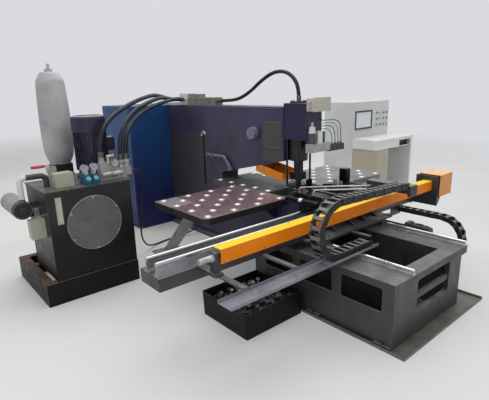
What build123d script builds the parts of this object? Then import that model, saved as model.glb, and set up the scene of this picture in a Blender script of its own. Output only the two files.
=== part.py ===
from build123d import *
import math
import os

# Hydraulic plate punching machine with a numerically controlled plate carriage.
# Millimetres. The origin is where the punch axis meets the floor. X runs along the
# long carriage beam, Y runs back along the arm of the C-shaped press frame, Z is up.

os.makedirs("parts", exist_ok=True)

# Fits and heights shared by the whole machine
fit_gap = 0.3
pass_line = 780
table_top = 770
table_drop = 60

# C-shaped press frame
frame_half_width = 120
frame_front = 90
frame_rear = 2160
frame_top = 1565
side_plate = 35
web_inset = 16
jaw_front = -110
jaw_top = 700
throat_back = 1070
throat_roof_front = 1055
throat_roof_back = 825
throat_radius = 50
base_flange_half = 185
base_flange_thick = 25
anchor_hole = 22
anchor_places = [60, 900, 1900]
anchor_pitch_x = 310
lifting_pin_y = 495
lifting_pin_z = 1301
lifting_pin_radius = 60
lifting_pin_length = 50
lifting_collar = 8

# Rear housing
housing_half_width = 680
housing_depth = 780
housing_top = 1565
housing_plinth = 60

# Press head, its cylinder and tools
head_half_width = 112
head_front = -190
head_bottom = 1270
head_top = 1600
cylinder_radius = 88
cylinder_bottom = 1062
cylinder_flange_radius = 104
cylinder_flange_thick = 20
ram_radius = 45
ram_stroke = 36
holder_size = 118
holder_bottom = 880
holder_top = 950
punch_radius = 20
punch_tip = 806
stripper_half_x = 106
stripper_half_y = 74
stripper_bottom = 812
stripper_thick = 18
stripper_rod_radius = 10
stripper_rod_x = 94
stripper_rod_y = 62
die_radius = 60
die_hole_radius = 21
bolster_half = 75

# Tables that carry the plate
table_left_far = -1230
table_left_near = -290
table_front = -150
table_rear = 640
table_skin = 6
table_corner_cut = 42
table_edge_radius = 9
ball_first_x = -1170
ball_pitch_x = 133.5
ball_first_y = -105
ball_pitch_y = 114.5
ball_columns = 7
ball_rows = 7
ball_radius = 15
ball_rise = 10
ball_cup_radius = 24
ball_cup_rim = 3
ball_cup_depth = 22
throat_table_half = 285
throat_table_front = 130
throat_table_rear = 1010
throat_ball_x = 240
throat_ball_first = 180
throat_ball_pitch = 190
throat_ball_count = 5
bracket_height = 60
bracket_width = 70
bracket_places = [150, 490]
brace_size = 80

# Bed under the saddle
bed_left = -679
bed_right = 295
bed_front = -1468
bed_top = 485
bed_foot_height = 24
bed_left_rail_width = 250
bed_right_rail_width = 150
bed_cross_width = 120
bed_skin = 14
y_rail_left = -449
y_rail_right = 346
y_rail_radius = 12.5
y_rail_support = 30
y_screw_x = 434
y_screw_z = 505
y_screw_radius = 12

# Saddle, carriage beam and its guard
beam_left = -1910
beam_right = 1080
beam_front = -615
beam_rear = -375
beam_bottom = 553
beam_top = 645
beam_wall = 10
x_rail_front = -587
x_rail_rear = -463
x_rail_radius = 15
x_rail_support = 74
wing_thick = 20
wing_left = -540
wing_right = 450
wing_reach = 145
guard_left = -1580
guard_front = -808
guard_rear = -718
guard_bottom = 705
guard_top = 800
guard_skin = 3
screw_y = -763
screw_z = 742
x_screw_radius = 16
trough_left = -1714
trough_right = -250
trough_front = -1064
trough_rear = -936
trough_bottom = 540
trough_side = 22
trough_skin = 3

# Carriage and clamps
carriage_left = -350
carriage_right = 330
carriage_front = -700
carriage_rear = -415
carriage_bottom = 765
carriage_thick = 20
clamp_tip = -160
clamp_back = -600
clamp_half = 100
clamp_cheek = 34
clamp_top = 850
clamp_lip_top = 776
clamp_lip_bottom = 748
clamp_left_x = -240
clamp_right_x = 230
jaw_pivot_y = -430
jaw_pivot_z = 822
jaw_pin_radius = 9
arm_left = 185
arm_right = 290
arm_front = -1062
arm_top = 930
arm_thick = 65

# Drag chains
link_pitch = 66
link_reach = 20
link_wall = 5
link_bar = 22
x_chain_height = 56
x_chain_width = 100
x_chain_y = -1000
x_chain_radius = 200
x_chain_bend_x = -710
x_chain_fixed_x = -324
x_chain_low = 571.5
x_chain_end_z = 940
y_chain_height = 44
y_chain_width = 80
y_chain_x = 525
y_chain_radius = 175
y_chain_bend_y = -1195
y_chain_fixed_y = -1010
y_chain_low = 280
y_chain_plate_y = -775

# Hydraulic power unit
unit_left = -2205
unit_right = -1375
unit_front = 790
unit_rear = 1680
unit_base_height = 200
tank_left = -2105
tank_right = -1372
tank_front = 805
tank_rear = 1400
tank_top = 975
cover_x = -1734
cover_z = 651
cover_radius = 240
cover_thick = 14
accumulator_x = -1722
accumulator_y = 1560
accumulator_radius = 149.5
accumulator_bottom = 1085
accumulator_top = 1942
motor_x = -1530
motor_y = 1230
motor_radius = 160
motor_top = 1544
side_motor_x = -2240
side_motor_z = 815
side_motor_radius = 78
side_motor_front = 1010
side_motor_rear = 1450
hose_radius = 21
top_hose_radius = 18
cable_radius = 9

# Operator's console
console_left = 2600
console_width = 990
console_front = 1233
console_rear = 1797
console_top = 1485
desk_front = 800
desk_top = 928
desk_thick = 40


def write(part, name):
    """Label one finished piece and write its STEP file."""
    part.label = name
    export_step(part, f"parts/{name}.step")


def box(x0, x1, y0, y1, z0, z1, mode=Mode.ADD):
    """Box between opposite corners, added to the part being built."""
    with Locations(((x0 + x1) / 2, (y0 + y1) / 2, (z0 + z1) / 2)):
        Box(x1 - x0, y1 - y0, z1 - z0, mode=mode)


def cord_radii(points):
    """Largest tangent arc that the runs on both sides of each corner allow."""
    route = [Vector(*point) for point in points]
    radii = []
    for before, corner, after in zip(route, route[1:], route[2:]):
        run_in = corner - before
        run_out = after - corner
        turn = math.radians(run_in.get_angle(run_out))
        radii.append(0.45 * min(run_in.length, run_out.length) / math.tan(turn / 2))
    return radii


def tube(points, radius, radii):
    """Round bar or hose swept along straight runs that are joined by tangent arcs."""
    with BuildPart() as bar:
        with BuildLine() as path:
            FilletPolyline(*points, radius=radii)
        with BuildSketch(Plane(path.line ^ 0)):
            Circle(radius)
        sweep()
    return bar.part


# C-shaped press frame: two side plates, an inset web, base flange and brackets
throat_roof_slope = (throat_roof_front - throat_roof_back) / (throat_back - frame_front)
with BuildPart() as c_frame:
    with BuildSketch(Plane.YZ) as frame_profile:
        with BuildLine():
            Polyline(
                (jaw_front, 0),
                (frame_rear, 0),
                (frame_rear, frame_top),
                (frame_front, frame_top),
                (frame_front, throat_roof_front),
                (throat_back, throat_roof_back),
                (throat_back, jaw_top),
                (jaw_front, jaw_top),
                close=True,
            )
        make_face()
        throat_corners = frame_profile.vertices().filter_by_position(Axis.X, throat_back - 1, throat_back + 1)
        fillet(throat_corners, throat_radius)
    extrude(amount=frame_half_width, both=True)
    with BuildSketch(Plane.YZ) as groove_profile:
        add(frame_profile.sketch)
        offset(frame_profile.sketch, amount=-web_inset, mode=Mode.SUBTRACT)
    extrude(amount=frame_half_width - side_plate, both=True, mode=Mode.SUBTRACT)
    box(-frame_half_width, frame_half_width, frame_rear - web_inset, frame_rear, 0, frame_top)
    box(-frame_half_width, frame_half_width, frame_front, frame_front + web_inset, throat_roof_front, frame_top)
    box(-frame_half_width, frame_half_width, jaw_front, jaw_front + web_inset, 0, jaw_top)
    box(-base_flange_half, base_flange_half, jaw_front, frame_rear, 0, base_flange_thick)
    for anchor_y in anchor_places:
        with Locations((0, anchor_y, base_flange_thick)):
            with GridLocations(anchor_pitch_x, 1, 2, 1):
                Hole(anchor_hole / 2, depth=base_flange_thick)
    # bolster under the die, with the slug hole through the lower jaw
    box(-bolster_half, bolster_half, -bolster_half, bolster_half, jaw_top - web_inset, jaw_top + 22)
    with Locations((0, 0, jaw_top + 22)):
        Hole(die_hole_radius + 6, depth=web_inset + 200)
    # lifting pins on both sides of the arm
    for side in (-1, 1):
        with BuildSketch(Plane.YZ.offset(side * frame_half_width)):
            with Locations((lifting_pin_y, lifting_pin_z)):
                Circle(lifting_pin_radius + 10)
        extrude(amount=side * lifting_collar)
        with BuildSketch(Plane.YZ.offset(side * (frame_half_width + lifting_collar))):
            with Locations((lifting_pin_y, lifting_pin_z)):
                Circle(lifting_pin_radius)
        extrude(amount=side * lifting_pin_length)
    # doubling plates near the head and weld-on stiffeners beside the throat
    for side in (-1, 1):
        inner = side * frame_half_width
        outer = side * (frame_half_width + 6)
        box(min(inner, outer), max(inner, outer), 108, 372, 1176, 1418)
    # table brackets welded to the side plates, flush with the table skirts
    bracket_top = table_top - table_drop
    for side in (-1, 1):
        for bracket_y in bracket_places:
            inner = side * frame_half_width
            outer = side * 370
            box(min(inner, outer), max(inner, outer), bracket_y, bracket_y + bracket_width,
                bracket_top - bracket_height, bracket_top)
            with BuildSketch(Plane.XZ.offset(-bracket_y - bracket_width / 2 - 6)):
                with BuildLine():
                    Polyline(
                        (inner, bracket_top - bracket_height),
                        (outer, bracket_top - bracket_height),
                        (inner, bracket_top - bracket_height - 200),
                        close=True,
                    )
                make_face()
            extrude(amount=12)
    # short posts on the lower jaw that the throat table stands on
    for post_y in (throat_table_front + 30, 560, 940):
        box(-100, 100, post_y, post_y + 40, jaw_top - web_inset, table_top - table_skin)
write(c_frame.part, "c_frame")

# Rear housing: closed sheet-metal body on a set-back plinth
with BuildPart() as rear_housing:
    box(-housing_half_width, housing_half_width, frame_rear, frame_rear + housing_depth,
        housing_plinth, housing_top)
    fillet(rear_housing.edges().filter_by(Axis.Z), 14)
    fillet(rear_housing.faces().sort_by(Axis.Z)[-1].edges(), 6)
    box(-housing_half_width + 50, housing_half_width - 50, frame_rear, frame_rear + housing_depth - 50,
        0, housing_plinth)
    # removable service covers on both sides and at the back, standing proud of the skin
    for side in (-1, 1):
        inner = side * (housing_half_width - 2)
        outer = side * (housing_half_width + 3)
        box(min(inner, outer), max(inner, outer), frame_rear + 90, frame_rear + housing_depth - 90, 180, 1440)
    box(-520, 520, frame_rear + housing_depth - 2, frame_rear + housing_depth + 3, 180, 1440)
write(rear_housing.part, "rear_housing")

# Press head: block bolted to the front of the arm
with BuildPart() as head_block:
    box(-head_half_width, head_half_width, head_front, frame_front, head_bottom, head_top)
    chamfer(head_block.edges().filter_by(Axis.Z).group_by(Axis.Y)[0], 10)
    box(-frame_half_width, frame_half_width, frame_front - 15, frame_front, throat_roof_front + 25, head_bottom + 40)
    with Locations((0, 0, head_bottom - cylinder_flange_thick + 60)):
        Cylinder(cylinder_radius, 300, mode=Mode.SUBTRACT, align=(Align.CENTER, Align.CENTER, Align.MAX))
    # cylinder cap and its ring of cap screws on top
    with Locations((0, 0, head_top)):
        Cylinder(84, 16, align=(Align.CENTER, Align.CENTER, Align.MIN))
    with Locations((0, 0, head_top + 16)):
        with PolarLocations(68, 8):
            Cylinder(8, 7, align=(Align.CENTER, Align.CENTER, Align.MIN))
write(head_block.part, "head_block")

# Main cylinder: barrel with a bolting flange against the head
with BuildPart() as main_cylinder:
    with BuildSketch(Plane.XZ):
        with BuildLine():
            Polyline(
                (ram_radius + fit_gap, cylinder_bottom),
                (cylinder_radius - 6, cylinder_bottom),
                (cylinder_radius - 1, cylinder_bottom + 6),
                (cylinder_radius - 1, head_bottom + 38),
                (ram_radius + fit_gap, head_bottom + 38),
                close=True,
            )
        make_face()
    revolve(axis=Axis.Z)
write(main_cylinder.part, "main_cylinder")

# Ram with the punch holder and punch; it slides down in the cylinder
with BuildPart() as punch_ram:
    with BuildSketch(Plane.XY.offset(holder_top)):
        Circle(ram_radius)
    extrude(amount=head_bottom - holder_top)
    box(-holder_size / 2, holder_size / 2, -holder_size / 2, holder_size / 2, holder_bottom, holder_top)
    chamfer(punch_ram.edges().filter_by(Axis.Z).group_by(Axis.Y)[0], 14)
    with Locations((0, 0, holder_bottom)):
        Cylinder(38, 11, align=(Align.CENTER, Align.CENTER, Align.MAX))
        Cylinder(punch_radius, holder_bottom - punch_tip, align=(Align.CENTER, Align.CENTER, Align.MAX))
write(punch_ram.part, "punch_ram")

# Stripper: a plate hung on four rods from the head
with BuildPart() as stripper_frame:
    box(-stripper_half_x, stripper_half_x, -stripper_half_y, stripper_half_y,
        stripper_bottom, stripper_bottom + stripper_thick)
    fillet(stripper_frame.edges().filter_by(Axis.Z), 12)
    with Locations((0, 0, stripper_bottom + stripper_thick)):
        Hole(punch_radius + 3, depth=stripper_thick)
    with BuildSketch(Plane.XY.offset(stripper_bottom + stripper_thick)):
        with GridLocations(2 * stripper_rod_x, 2 * stripper_rod_y, 2, 2):
            Circle(stripper_rod_radius)
    extrude(amount=head_bottom - stripper_bottom - stripper_thick)
write(stripper_frame.part, "stripper_frame")

# Die: round, stepped, with the punched hole through it
with BuildPart() as die:
    with BuildSketch(Plane.XZ):
        with BuildLine():
            Polyline(
                (die_hole_radius + 4, jaw_top + 22),
                (die_radius + 8, jaw_top + 22),
                (die_radius + 8, jaw_top + 50),
                (die_radius, jaw_top + 56),
                (die_radius, pass_line - 1),
                (die_hole_radius, pass_line - 1),
                (die_hole_radius, pass_line - 20),
                (die_hole_radius + 4, pass_line - 24),
                close=True,
            )
        make_face()
    revolve(axis=Axis.Z)
write(die.part, "die")

# Pipes on the left side of the arm, each clipped to the side plate
conduit_radius = 11
conduit_x = -(frame_half_width + conduit_radius + 1)
elbow_radius = 20
elbow_x = -(frame_half_width + elbow_radius + 2)
clip_reach = elbow_radius + 3
with BuildPart() as side_pipes:
    conduit = [(conduit_x, 1410, 640), (conduit_x, 1410, 1235), (conduit_x, 1370, 1275), (conduit_x, 1340, 1235)]
    add(tube(conduit, conduit_radius, [20, 18]))
    elbow = [(elbow_x, 1306, 1007), (elbow_x, 985, 1010), (elbow_x, 865, 871)]
    add(tube(elbow, elbow_radius, 62))
    for clip_z in (700, 960, 1200):
        box(conduit_x - 13, -frame_half_width, 1395, 1425, clip_z, clip_z + 26)
    box(elbow_x - clip_reach, -frame_half_width, 1190, 1220, 982, 1034)
    box(elbow_x - clip_reach, -frame_half_width, 1286, 1308, 982, 1032)
    box(elbow_x - clip_reach, -frame_half_width, 866, 902, 866, 908)
write(side_pipes.part, "side_pipes")

# Electrical box on the front of the head, with its lid and cable glands
with BuildPart() as junction_box:
    box(-107, 119, -264, head_front, 1531, 1647)
    fillet(junction_box.edges().filter_by(Axis.Y), 6)
    box(-110, 122, -276, -264, 1528, 1650)
    for gland_z in (1565, 1612):
        with BuildSketch(Plane.YZ.offset(-107)):
            with Locations((-228, gland_z)):
                Circle(13)
        extrude(amount=-22)
write(junction_box.part, "junction_box")

# Air units: bracket under the head, manifold, air cylinder, two regulators and the fitting rail
air_front = -262
air_rear = head_front - 12
with BuildPart() as air_units:
    box(-60, 60, air_rear, head_front, 1165, 1335)
    box(-130, 150, air_front, air_rear, 1165, 1245)
    chamfer(air_units.faces().sort_by(Axis.Y)[0].edges(), 3)
    with Locations((-78, -232, 1245)):
        Cylinder(38, 100, align=(Align.CENTER, Align.CENTER, Align.MIN))
        Cylinder(28, 150, align=(Align.CENTER, Align.CENTER, Align.MIN))
        Cylinder(12, 190, align=(Align.CENTER, Align.CENTER, Align.MIN))
    box(-22, 40, -255, air_rear, 1245, 1352)
    box(46, 82, -250, air_rear, 1245, 1345)
    box(150, 372, -252, -202, 1152, 1210)
    with Locations((261, -227, 1210)):
        with GridLocations(44, 1, 5, 1):
            Cylinder(10, 14, align=(Align.CENTER, Align.CENTER, Align.MIN))
write(air_units.part, "air_units")

# Thin air tubes that loop from the fitting rail up to the right side of the head
air_tube_radius = 4
with BuildPart() as air_tubes:
    for count, start_x in enumerate((217, 261, 305, 349)):
        rise = 1336 + 26 * count
        loop = [
            (start_x, -227, 1224.2),
            (start_x, -227, rise - 50),
            (start_x - 10, -195, rise + 20),
            (head_half_width + 60, -150, rise + 20),
            (head_half_width + 12.2, -150, rise + 20),
        ]
        add(tube(loop, air_tube_radius, [50, 40, 30]))
        with BuildSketch(Plane.YZ.offset(head_half_width)):
            with Locations((-150, rise + 20)):
                Circle(9)
        extrude(amount=12)
write(air_tubes.part, "air_tubes")

# Valve block on the top of the arm, where the pressure hoses arrive
top_block_front = 1240
top_block_rear = 1790
hose_ports = [top_block_rear + 30, top_block_rear + 80, top_block_rear + 130]
with BuildPart() as top_valve_block:
    box(-62, 62, top_block_front, top_block_rear, frame_top, frame_top + 88)
    chamfer(top_valve_block.faces().sort_by(Axis.Z)[-1].edges(), 4)
    box(-52, 52, top_block_rear - 230, top_block_rear - 20, frame_top + 88, frame_top + 126)
    box(-70, 70, top_block_rear, top_block_rear + 160, frame_top, frame_top + 135)
    for port_y in hose_ports:
        with BuildSketch(Plane.YZ.offset(-70)):
            with Locations((port_y, frame_top + 70)):
                RegularPolygon(17, 6)
        extrude(amount=-26)
    with BuildSketch(Plane.XZ.offset(-top_block_front)):
        with Locations((0, frame_top + 50)):
            RegularPolygon(30, 6)
    extrude(amount=30)
write(top_valve_block.part, "top_valve_block")



def folded_table(outline, ball_places, rib_rows, rib_left, rib_right):
    """Sheet table: folded skirts, cross ribs below and a hole for each ball unit."""
    with BuildPart() as table:
        with BuildSketch(Plane.XY.offset(table_top - table_drop)):
            with BuildLine():
                Polyline(*outline, close=True)
            make_face()
        extrude(amount=table_drop)
        fillet(table.faces().sort_by(Axis.Z)[-1].edges(), table_edge_radius)
        offset(amount=-table_skin, openings=table.faces().sort_by(Axis.Z)[0])
        for rib_y in rib_rows:
            box(rib_left, rib_right, rib_y - 4, rib_y + 4, table_top - table_drop, table_top - table_skin)
        with Locations(*[(x, y, table_top) for x, y in ball_places]):
            Hole(ball_cup_radius + fit_gap, depth=table_skin)
    return table.part


# Ball tables to the left and right of the press, mirror images of each other
left_balls = []
for column in range(ball_columns):
    for row in range(ball_rows):
        if column % 2 == row % 2:
            left_balls.append((ball_first_x + ball_pitch_x * column, ball_first_y + ball_pitch_y * row))
left_outline = [
    (table_left_near, table_front),
    (table_left_near, table_rear),
    (table_left_far, table_rear),
    (table_left_far, table_front + table_corner_cut),
    (table_left_far + table_corner_cut, table_front),
]
rib_rows = [ball_first_y + ball_pitch_y * (row + 0.5) for row in range(ball_rows - 1)]
right_balls = [(-x, y) for x, y in left_balls]
right_outline = [(-x, y) for x, y in left_outline]
ball_table_left = folded_table(
    left_outline, left_balls, rib_rows, table_left_far + table_skin, table_left_near - table_skin)
write(ball_table_left, "ball_table_left")
ball_table_right = folded_table(
    right_outline, right_balls, rib_rows, -table_left_near + table_skin, -table_left_far - table_skin)
write(ball_table_right, "ball_table_right")

# Table through the throat, with a row of balls along each side
throat_balls = []
for count in range(throat_ball_count):
    for side in (-1, 1):
        throat_balls.append((side * throat_ball_x, throat_ball_first + throat_ball_pitch * count))
throat_outline = [
    (-throat_table_half, throat_table_front),
    (throat_table_half, throat_table_front),
    (throat_table_half, throat_table_rear),
    (-throat_table_half, throat_table_rear),
]
throat_table = folded_table(throat_outline, throat_balls, [], 0, 0)
write(throat_table, "throat_table")

# Ball transfer units: a flanged cup with the ball standing proud of it
ball_centre_z = table_top + ball_rise - ball_radius
rim_top = table_top + ball_cup_rim
ball_at_rim = math.sqrt(ball_radius**2 - (rim_top - ball_centre_z) ** 2)
with BuildPart() as ball_unit:
    with BuildSketch(Plane.XZ):
        with BuildLine():
            Polyline(
                (0, table_top + ball_rise),
                (0, table_top - ball_cup_depth),
                (ball_cup_radius, table_top - ball_cup_depth),
                (ball_cup_radius, table_top),
                (ball_cup_radius + 5, table_top),
                (ball_cup_radius + 4, rim_top),
                (ball_at_rim, rim_top),
            )
            RadiusArc((ball_at_rim, rim_top), (0, table_top + ball_rise), -ball_radius)
        make_face()
    revolve(axis=Axis.Z)
with BuildPart() as ball_units:
    with Locations(*[(x, y, 0) for x, y in left_balls + right_balls + throat_balls]):
        add(ball_unit.part)
write(ball_units.part, "ball_units")

# Square-tube braces from the floor up to a rib of each ball table
brace_rib_y = rib_rows[4]
with BuildPart() as table_braces:
    for side in (-1, 1):
        foot = Vector(side * 792, 1225, 0)
        head = Vector(side * 939, brace_rib_y - 25, table_top - table_drop)
        along = head - foot
        with BuildSketch(Plane(origin=foot - along * 0.2, x_dir=(1, 0, 0), z_dir=along)):
            Rectangle(brace_size, brace_size)
            Rectangle(brace_size - 10, brace_size - 10, mode=Mode.SUBTRACT)
        extrude(amount=along.length * 1.4)
    split(bisect_by=Plane.XY.offset(table_top - table_drop), keep=Keep.BOTTOM)
    split(bisect_by=Plane.XY.offset(14), keep=Keep.TOP)
    for side in (-1, 1):
        box(side * 800 - 150, side * 800 + 150, 1130, 1330, 0, 14)
        with Locations((side * 800, 1230, 14)):
            with GridLocations(240, 140, 2, 2):
                Cylinder(11, 9, align=(Align.CENTER, Align.CENTER, Align.MIN))
write(table_braces.part, "table_braces")

# Guard under the arm behind the stripper: folded sheet hung from the throat roof


def roof_height(y):
    """Height of the sloping throat roof at a distance y back from the punch."""
    return throat_roof_front + (y - frame_front) * (throat_roof_back - throat_roof_front) / (throat_back - frame_front)


guard_points = [(96, 856), (348, 884), (484, 912), (484, roof_height(484)), (400, roof_height(400)), (96, 935)]
with BuildPart() as throat_guard:
    with BuildSketch(Plane.YZ):
        with BuildLine():
            Polyline(*guard_points, close=True)
        make_face()
    extrude(amount=frame_half_width, both=True)
    with BuildSketch(Plane.YZ):
        with BuildLine():
            Polyline((90, 860), (346, 888), (480, 915), (480, 1100), (90, 1100), close=True)
        make_face()
    extrude(amount=frame_half_width - 4, both=True, mode=Mode.SUBTRACT)
write(throat_guard.part, "throat_guard")

y_mount_front = -955
y_mount_rear = -920
y_end_front = -175
y_end_rear = -145
# Bed: two hollow rails with windows, front and rear cross walls, feet and rail seats
bed_floor = bed_foot_height + 3
right_leg_left = bed_right - bed_right_rail_width
left_leg_right = bed_left + bed_left_rail_width
right_seat_bottom = 420
right_seat_right = 390
cross_rear_front = jaw_front - bed_cross_width
cross_front_rear = bed_front + bed_cross_width
with BuildPart() as bed:
    box(bed_left, left_leg_right, bed_front, jaw_front, bed_floor, bed_top)
    box(bed_left + bed_skin, left_leg_right - bed_skin, bed_front + bed_skin, jaw_front - bed_skin,
        bed_floor + bed_skin, bed_top - bed_skin, mode=Mode.SUBTRACT)
    box(right_leg_left, bed_right, bed_front, jaw_front, bed_floor, right_seat_bottom)
    box(right_leg_left + bed_skin, bed_right - bed_skin, bed_front + bed_skin, jaw_front - bed_skin,
        bed_floor + bed_skin, right_seat_bottom, mode=Mode.SUBTRACT)
    box(right_leg_left + 55, right_seat_right, bed_front, jaw_front, right_seat_bottom, bed_top)
    box(right_leg_left, right_leg_left + 55, bed_front, jaw_front, right_seat_bottom - 14, bed_top)
    # front wall with its large window and cross bar, and the flat top plate behind it
    box(left_leg_right, right_leg_left, bed_front, bed_front + 40, bed_floor, bed_top)
    box(left_leg_right, right_leg_left, bed_front, cross_front_rear, bed_top - 24, bed_top)
    box(left_leg_right, right_leg_left, cross_front_rear - 20, cross_front_rear, bed_top - 110, bed_top)
    with BuildSketch(Plane.XZ.offset(-bed_front)):
        with Locations(((left_leg_right + right_leg_left) / 2, 305)):
            RectangleRounded(right_leg_left - left_leg_right - 90, 250, 22)
    extrude(amount=-40, mode=Mode.SUBTRACT)
    box(left_leg_right, right_leg_left, bed_front + 8, bed_front + 32, 282, 322)
    box(left_leg_right, right_leg_left, cross_rear_front, jaw_front, bed_floor, bed_top)
    # rounded windows through the outer wall of the left rail
    for window_front, window_rear in ((-1375, -1035), (-955, -640), (-560, -240)):
        with BuildSketch(Plane.YZ.offset(bed_left)):
            with Locations(((window_front + window_rear) / 2, 345)):
                RectangleRounded(window_rear - window_front, 175, 20)
        extrude(amount=bed_skin, mode=Mode.SUBTRACT)
    # the same windows through the outer wall of the right rail
    for window_front, window_rear in ((-1375, -1035), (-955, -640), (-560, -240)):
        with BuildSketch(Plane.YZ.offset(bed_right)):
            with Locations(((window_front + window_rear) / 2, 250)):
                RectangleRounded(window_rear - window_front, 175, 20)
        extrude(amount=-bed_skin, mode=Mode.SUBTRACT)
    # bearings of the Y screw on the right seat
    for mount_front, mount_rear in ((y_mount_front, y_mount_rear), (y_end_front, y_end_rear)):
        box(right_seat_right, 478, mount_front, mount_rear, 440, 550)
        with BuildSketch(Plane.XZ.offset(-mount_front)):
            with Locations((y_screw_x, y_screw_z)):
                Circle(y_screw_radius + fit_gap)
        extrude(amount=mount_front - mount_rear, mode=Mode.SUBTRACT)
    # shelf that the fixed end of the Y chain lies on
    chain_shelf_top = y_chain_low - y_chain_height / 2 - 0.5
    chain_edge = y_chain_x + y_chain_width / 2
    box(bed_right, chain_edge, y_chain_fixed_y - 65, y_chain_fixed_y + 30, chain_shelf_top - 8, chain_shelf_top)
    box(bed_right, bed_right + 110, y_chain_fixed_y + 22, y_chain_fixed_y + 30, chain_shelf_top - 70, chain_shelf_top)
    # feet
    for foot_x in (bed_left + 65, bed_right - 65):
        for foot_y in (bed_front + 70, (bed_front + jaw_front) / 2, jaw_front - 110):
            box(foot_x - 85, foot_x + 85, foot_y - 65, foot_y + 65, 3, bed_floor)
write(bed.part, "bed")

with BuildPart() as bed_bolts:
    for foot_y in (bed_front + 70, (bed_front + jaw_front) / 2, jaw_front - 110):
        for bolt_x in (bed_left - 10, bed_right + 10):
            with Locations((bolt_x, foot_y, bed_floor)):
                Cylinder(9, 5, align=(Align.CENTER, Align.CENTER, Align.MIN))
            with BuildSketch(Plane.XY.offset(bed_floor)):
                with Locations((bolt_x, foot_y)):
                    RegularPolygon(8.6, 6)
            extrude(amount=18)
write(bed_bolts.part, "bed_bolts")

# Oil drip tray under the bed
with BuildPart() as drip_tray:
    box(-712, 520, -1580, -152, 0, 22)
    box(-709, 517, -1577, -155, 3, 22, mode=Mode.SUBTRACT)
write(drip_tray.part, "drip_tray")

# Slug bin beside the bed: open box with a rolled rim
with BuildPart() as slug_bin:
    with BuildSketch(Plane.XY):
        with Locations((-1016, -440)):
            RectangleRounded(576, 530, 12)
    with BuildSketch(Plane.XY.offset(200)):
        with Locations((-1016, -440)):
            RectangleRounded(588, 540, 12)
    loft()
    offset(amount=-4, openings=slug_bin.faces().sort_by(Axis.Z)[-1])
write(slug_bin.part, "slug_bin")

with BuildPart() as slug_heap:
    with BuildSketch(Plane.XY.offset(4)):
        with Locations((-1016, -440)):
            Rectangle(560, 515)
    with BuildSketch(Plane.XY.offset(96)):
        with Locations((-1016, -440)):
            Rectangle(562, 516)
    with BuildSketch(Plane.XY.offset(150)):
        with Locations((-1000, -420)):
            Rectangle(240, 220)
    loft(ruled=True)
write(slug_heap.part, "slug_heap")


def rail_support(length, foot_width, neck_width, height, shaft_height, shaft_radius, along):
    """Shaft support: foot, neck and a cradle for the shaft, extruded along a rail."""
    with BuildPart() as support:
        with BuildSketch(Plane.YZ if along == "x" else Plane.XZ):
            with BuildLine():
                Polyline(
                    (-foot_width / 2, 0),
                    (foot_width / 2, 0),
                    (foot_width / 2, 9),
                    (neck_width / 2 + 4, 12),
                    (neck_width / 2, 18),
                    (neck_width / 2, height),
                    (-neck_width / 2, height),
                    (-neck_width / 2, 18),
                    (-neck_width / 2 - 4, 12),
                    (-foot_width / 2, 9),
                    close=True,
                )
            make_face()
            with Locations((0, shaft_height)):
                Circle(shaft_radius, mode=Mode.SUBTRACT)
        extrude(amount=length / 2, both=True)
    return support.part


def bearing_block(length, width, height, seat, shaft_radius, neck_width, along):
    """Open linear bearing block: bored for the shaft and slotted below for its support."""
    with BuildPart() as block:
        with BuildSketch(Plane.YZ if along == "x" else Plane.XZ):
            with Locations((0, (height + seat) / 2)):
                Rectangle(width, height - seat)
            with Locations((0, 0)):
                Circle(shaft_radius + fit_gap, mode=Mode.SUBTRACT)
            with Locations((0, seat / 2)):
                Rectangle(neck_width + 6, -seat, mode=Mode.SUBTRACT)
        extrude(amount=length / 2, both=True)
    return block.part


# Rails along Y on the bed
y_rail_z = bed_top + y_rail_support + 3.5
y_rail_rear = -130
y_rail_length = y_rail_rear - bed_front
y_rail_mid = (bed_front + y_rail_rear) / 2
y_neck = 12
y_support = rail_support(y_rail_length, 44, y_neck, 26, y_rail_z - bed_top, y_rail_radius, "y")
with BuildPart() as y_rail_supports:
    with Locations((y_rail_left, y_rail_mid, bed_top), (y_rail_right, y_rail_mid, bed_top)):
        add(y_support)
write(y_rail_supports.part, "y_rail_supports")

with BuildPart() as y_rails:
    with BuildSketch(Plane.XZ.offset(-bed_front)):
        with Locations((y_rail_left, y_rail_z), (y_rail_right, y_rail_z)):
            Circle(y_rail_radius)
    extrude(amount=-y_rail_length)
    chamfer(y_rails.edges().filter_by(GeomType.CIRCLE), 1.5)
write(y_rails.part, "y_rails")

# Screw along Y with its bearings and motor on the right of the bed
with BuildPart() as y_screw:
    with BuildSketch(Plane.XZ.offset(-y_mount_front)):
        with Locations((y_screw_x, y_screw_z)):
            Circle(y_screw_radius)
    extrude(amount=y_mount_front - y_end_rear)
write(y_screw.part, "y_screw")

with BuildPart() as y_motor:
    with BuildSketch(Plane.XZ.offset(-y_mount_front)):
        with Locations((y_screw_x, y_screw_z)):
            RectangleRounded(86, 86, 12)
    extrude(amount=16)
    with BuildSketch(Plane.XZ.offset(-y_mount_front + 16)):
        with Locations((y_screw_x, y_screw_z)):
            Circle(42)
    extrude(amount=130)
    with BuildSketch(Plane.XZ.offset(-y_mount_front + 146)):
        with Locations((y_screw_x, y_screw_z)):
            Circle(42)
    with BuildSketch(Plane.XZ.offset(-y_mount_front + 190)):
        with Locations((y_screw_x, y_screw_z)):
            Circle(33)
    loft()
    box(y_screw_x - 16, y_screw_x + 16, y_mount_front - 110, y_mount_front - 50, y_screw_z + 30, y_screw_z + 44)
write(y_motor.part, "y_motor")

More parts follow.
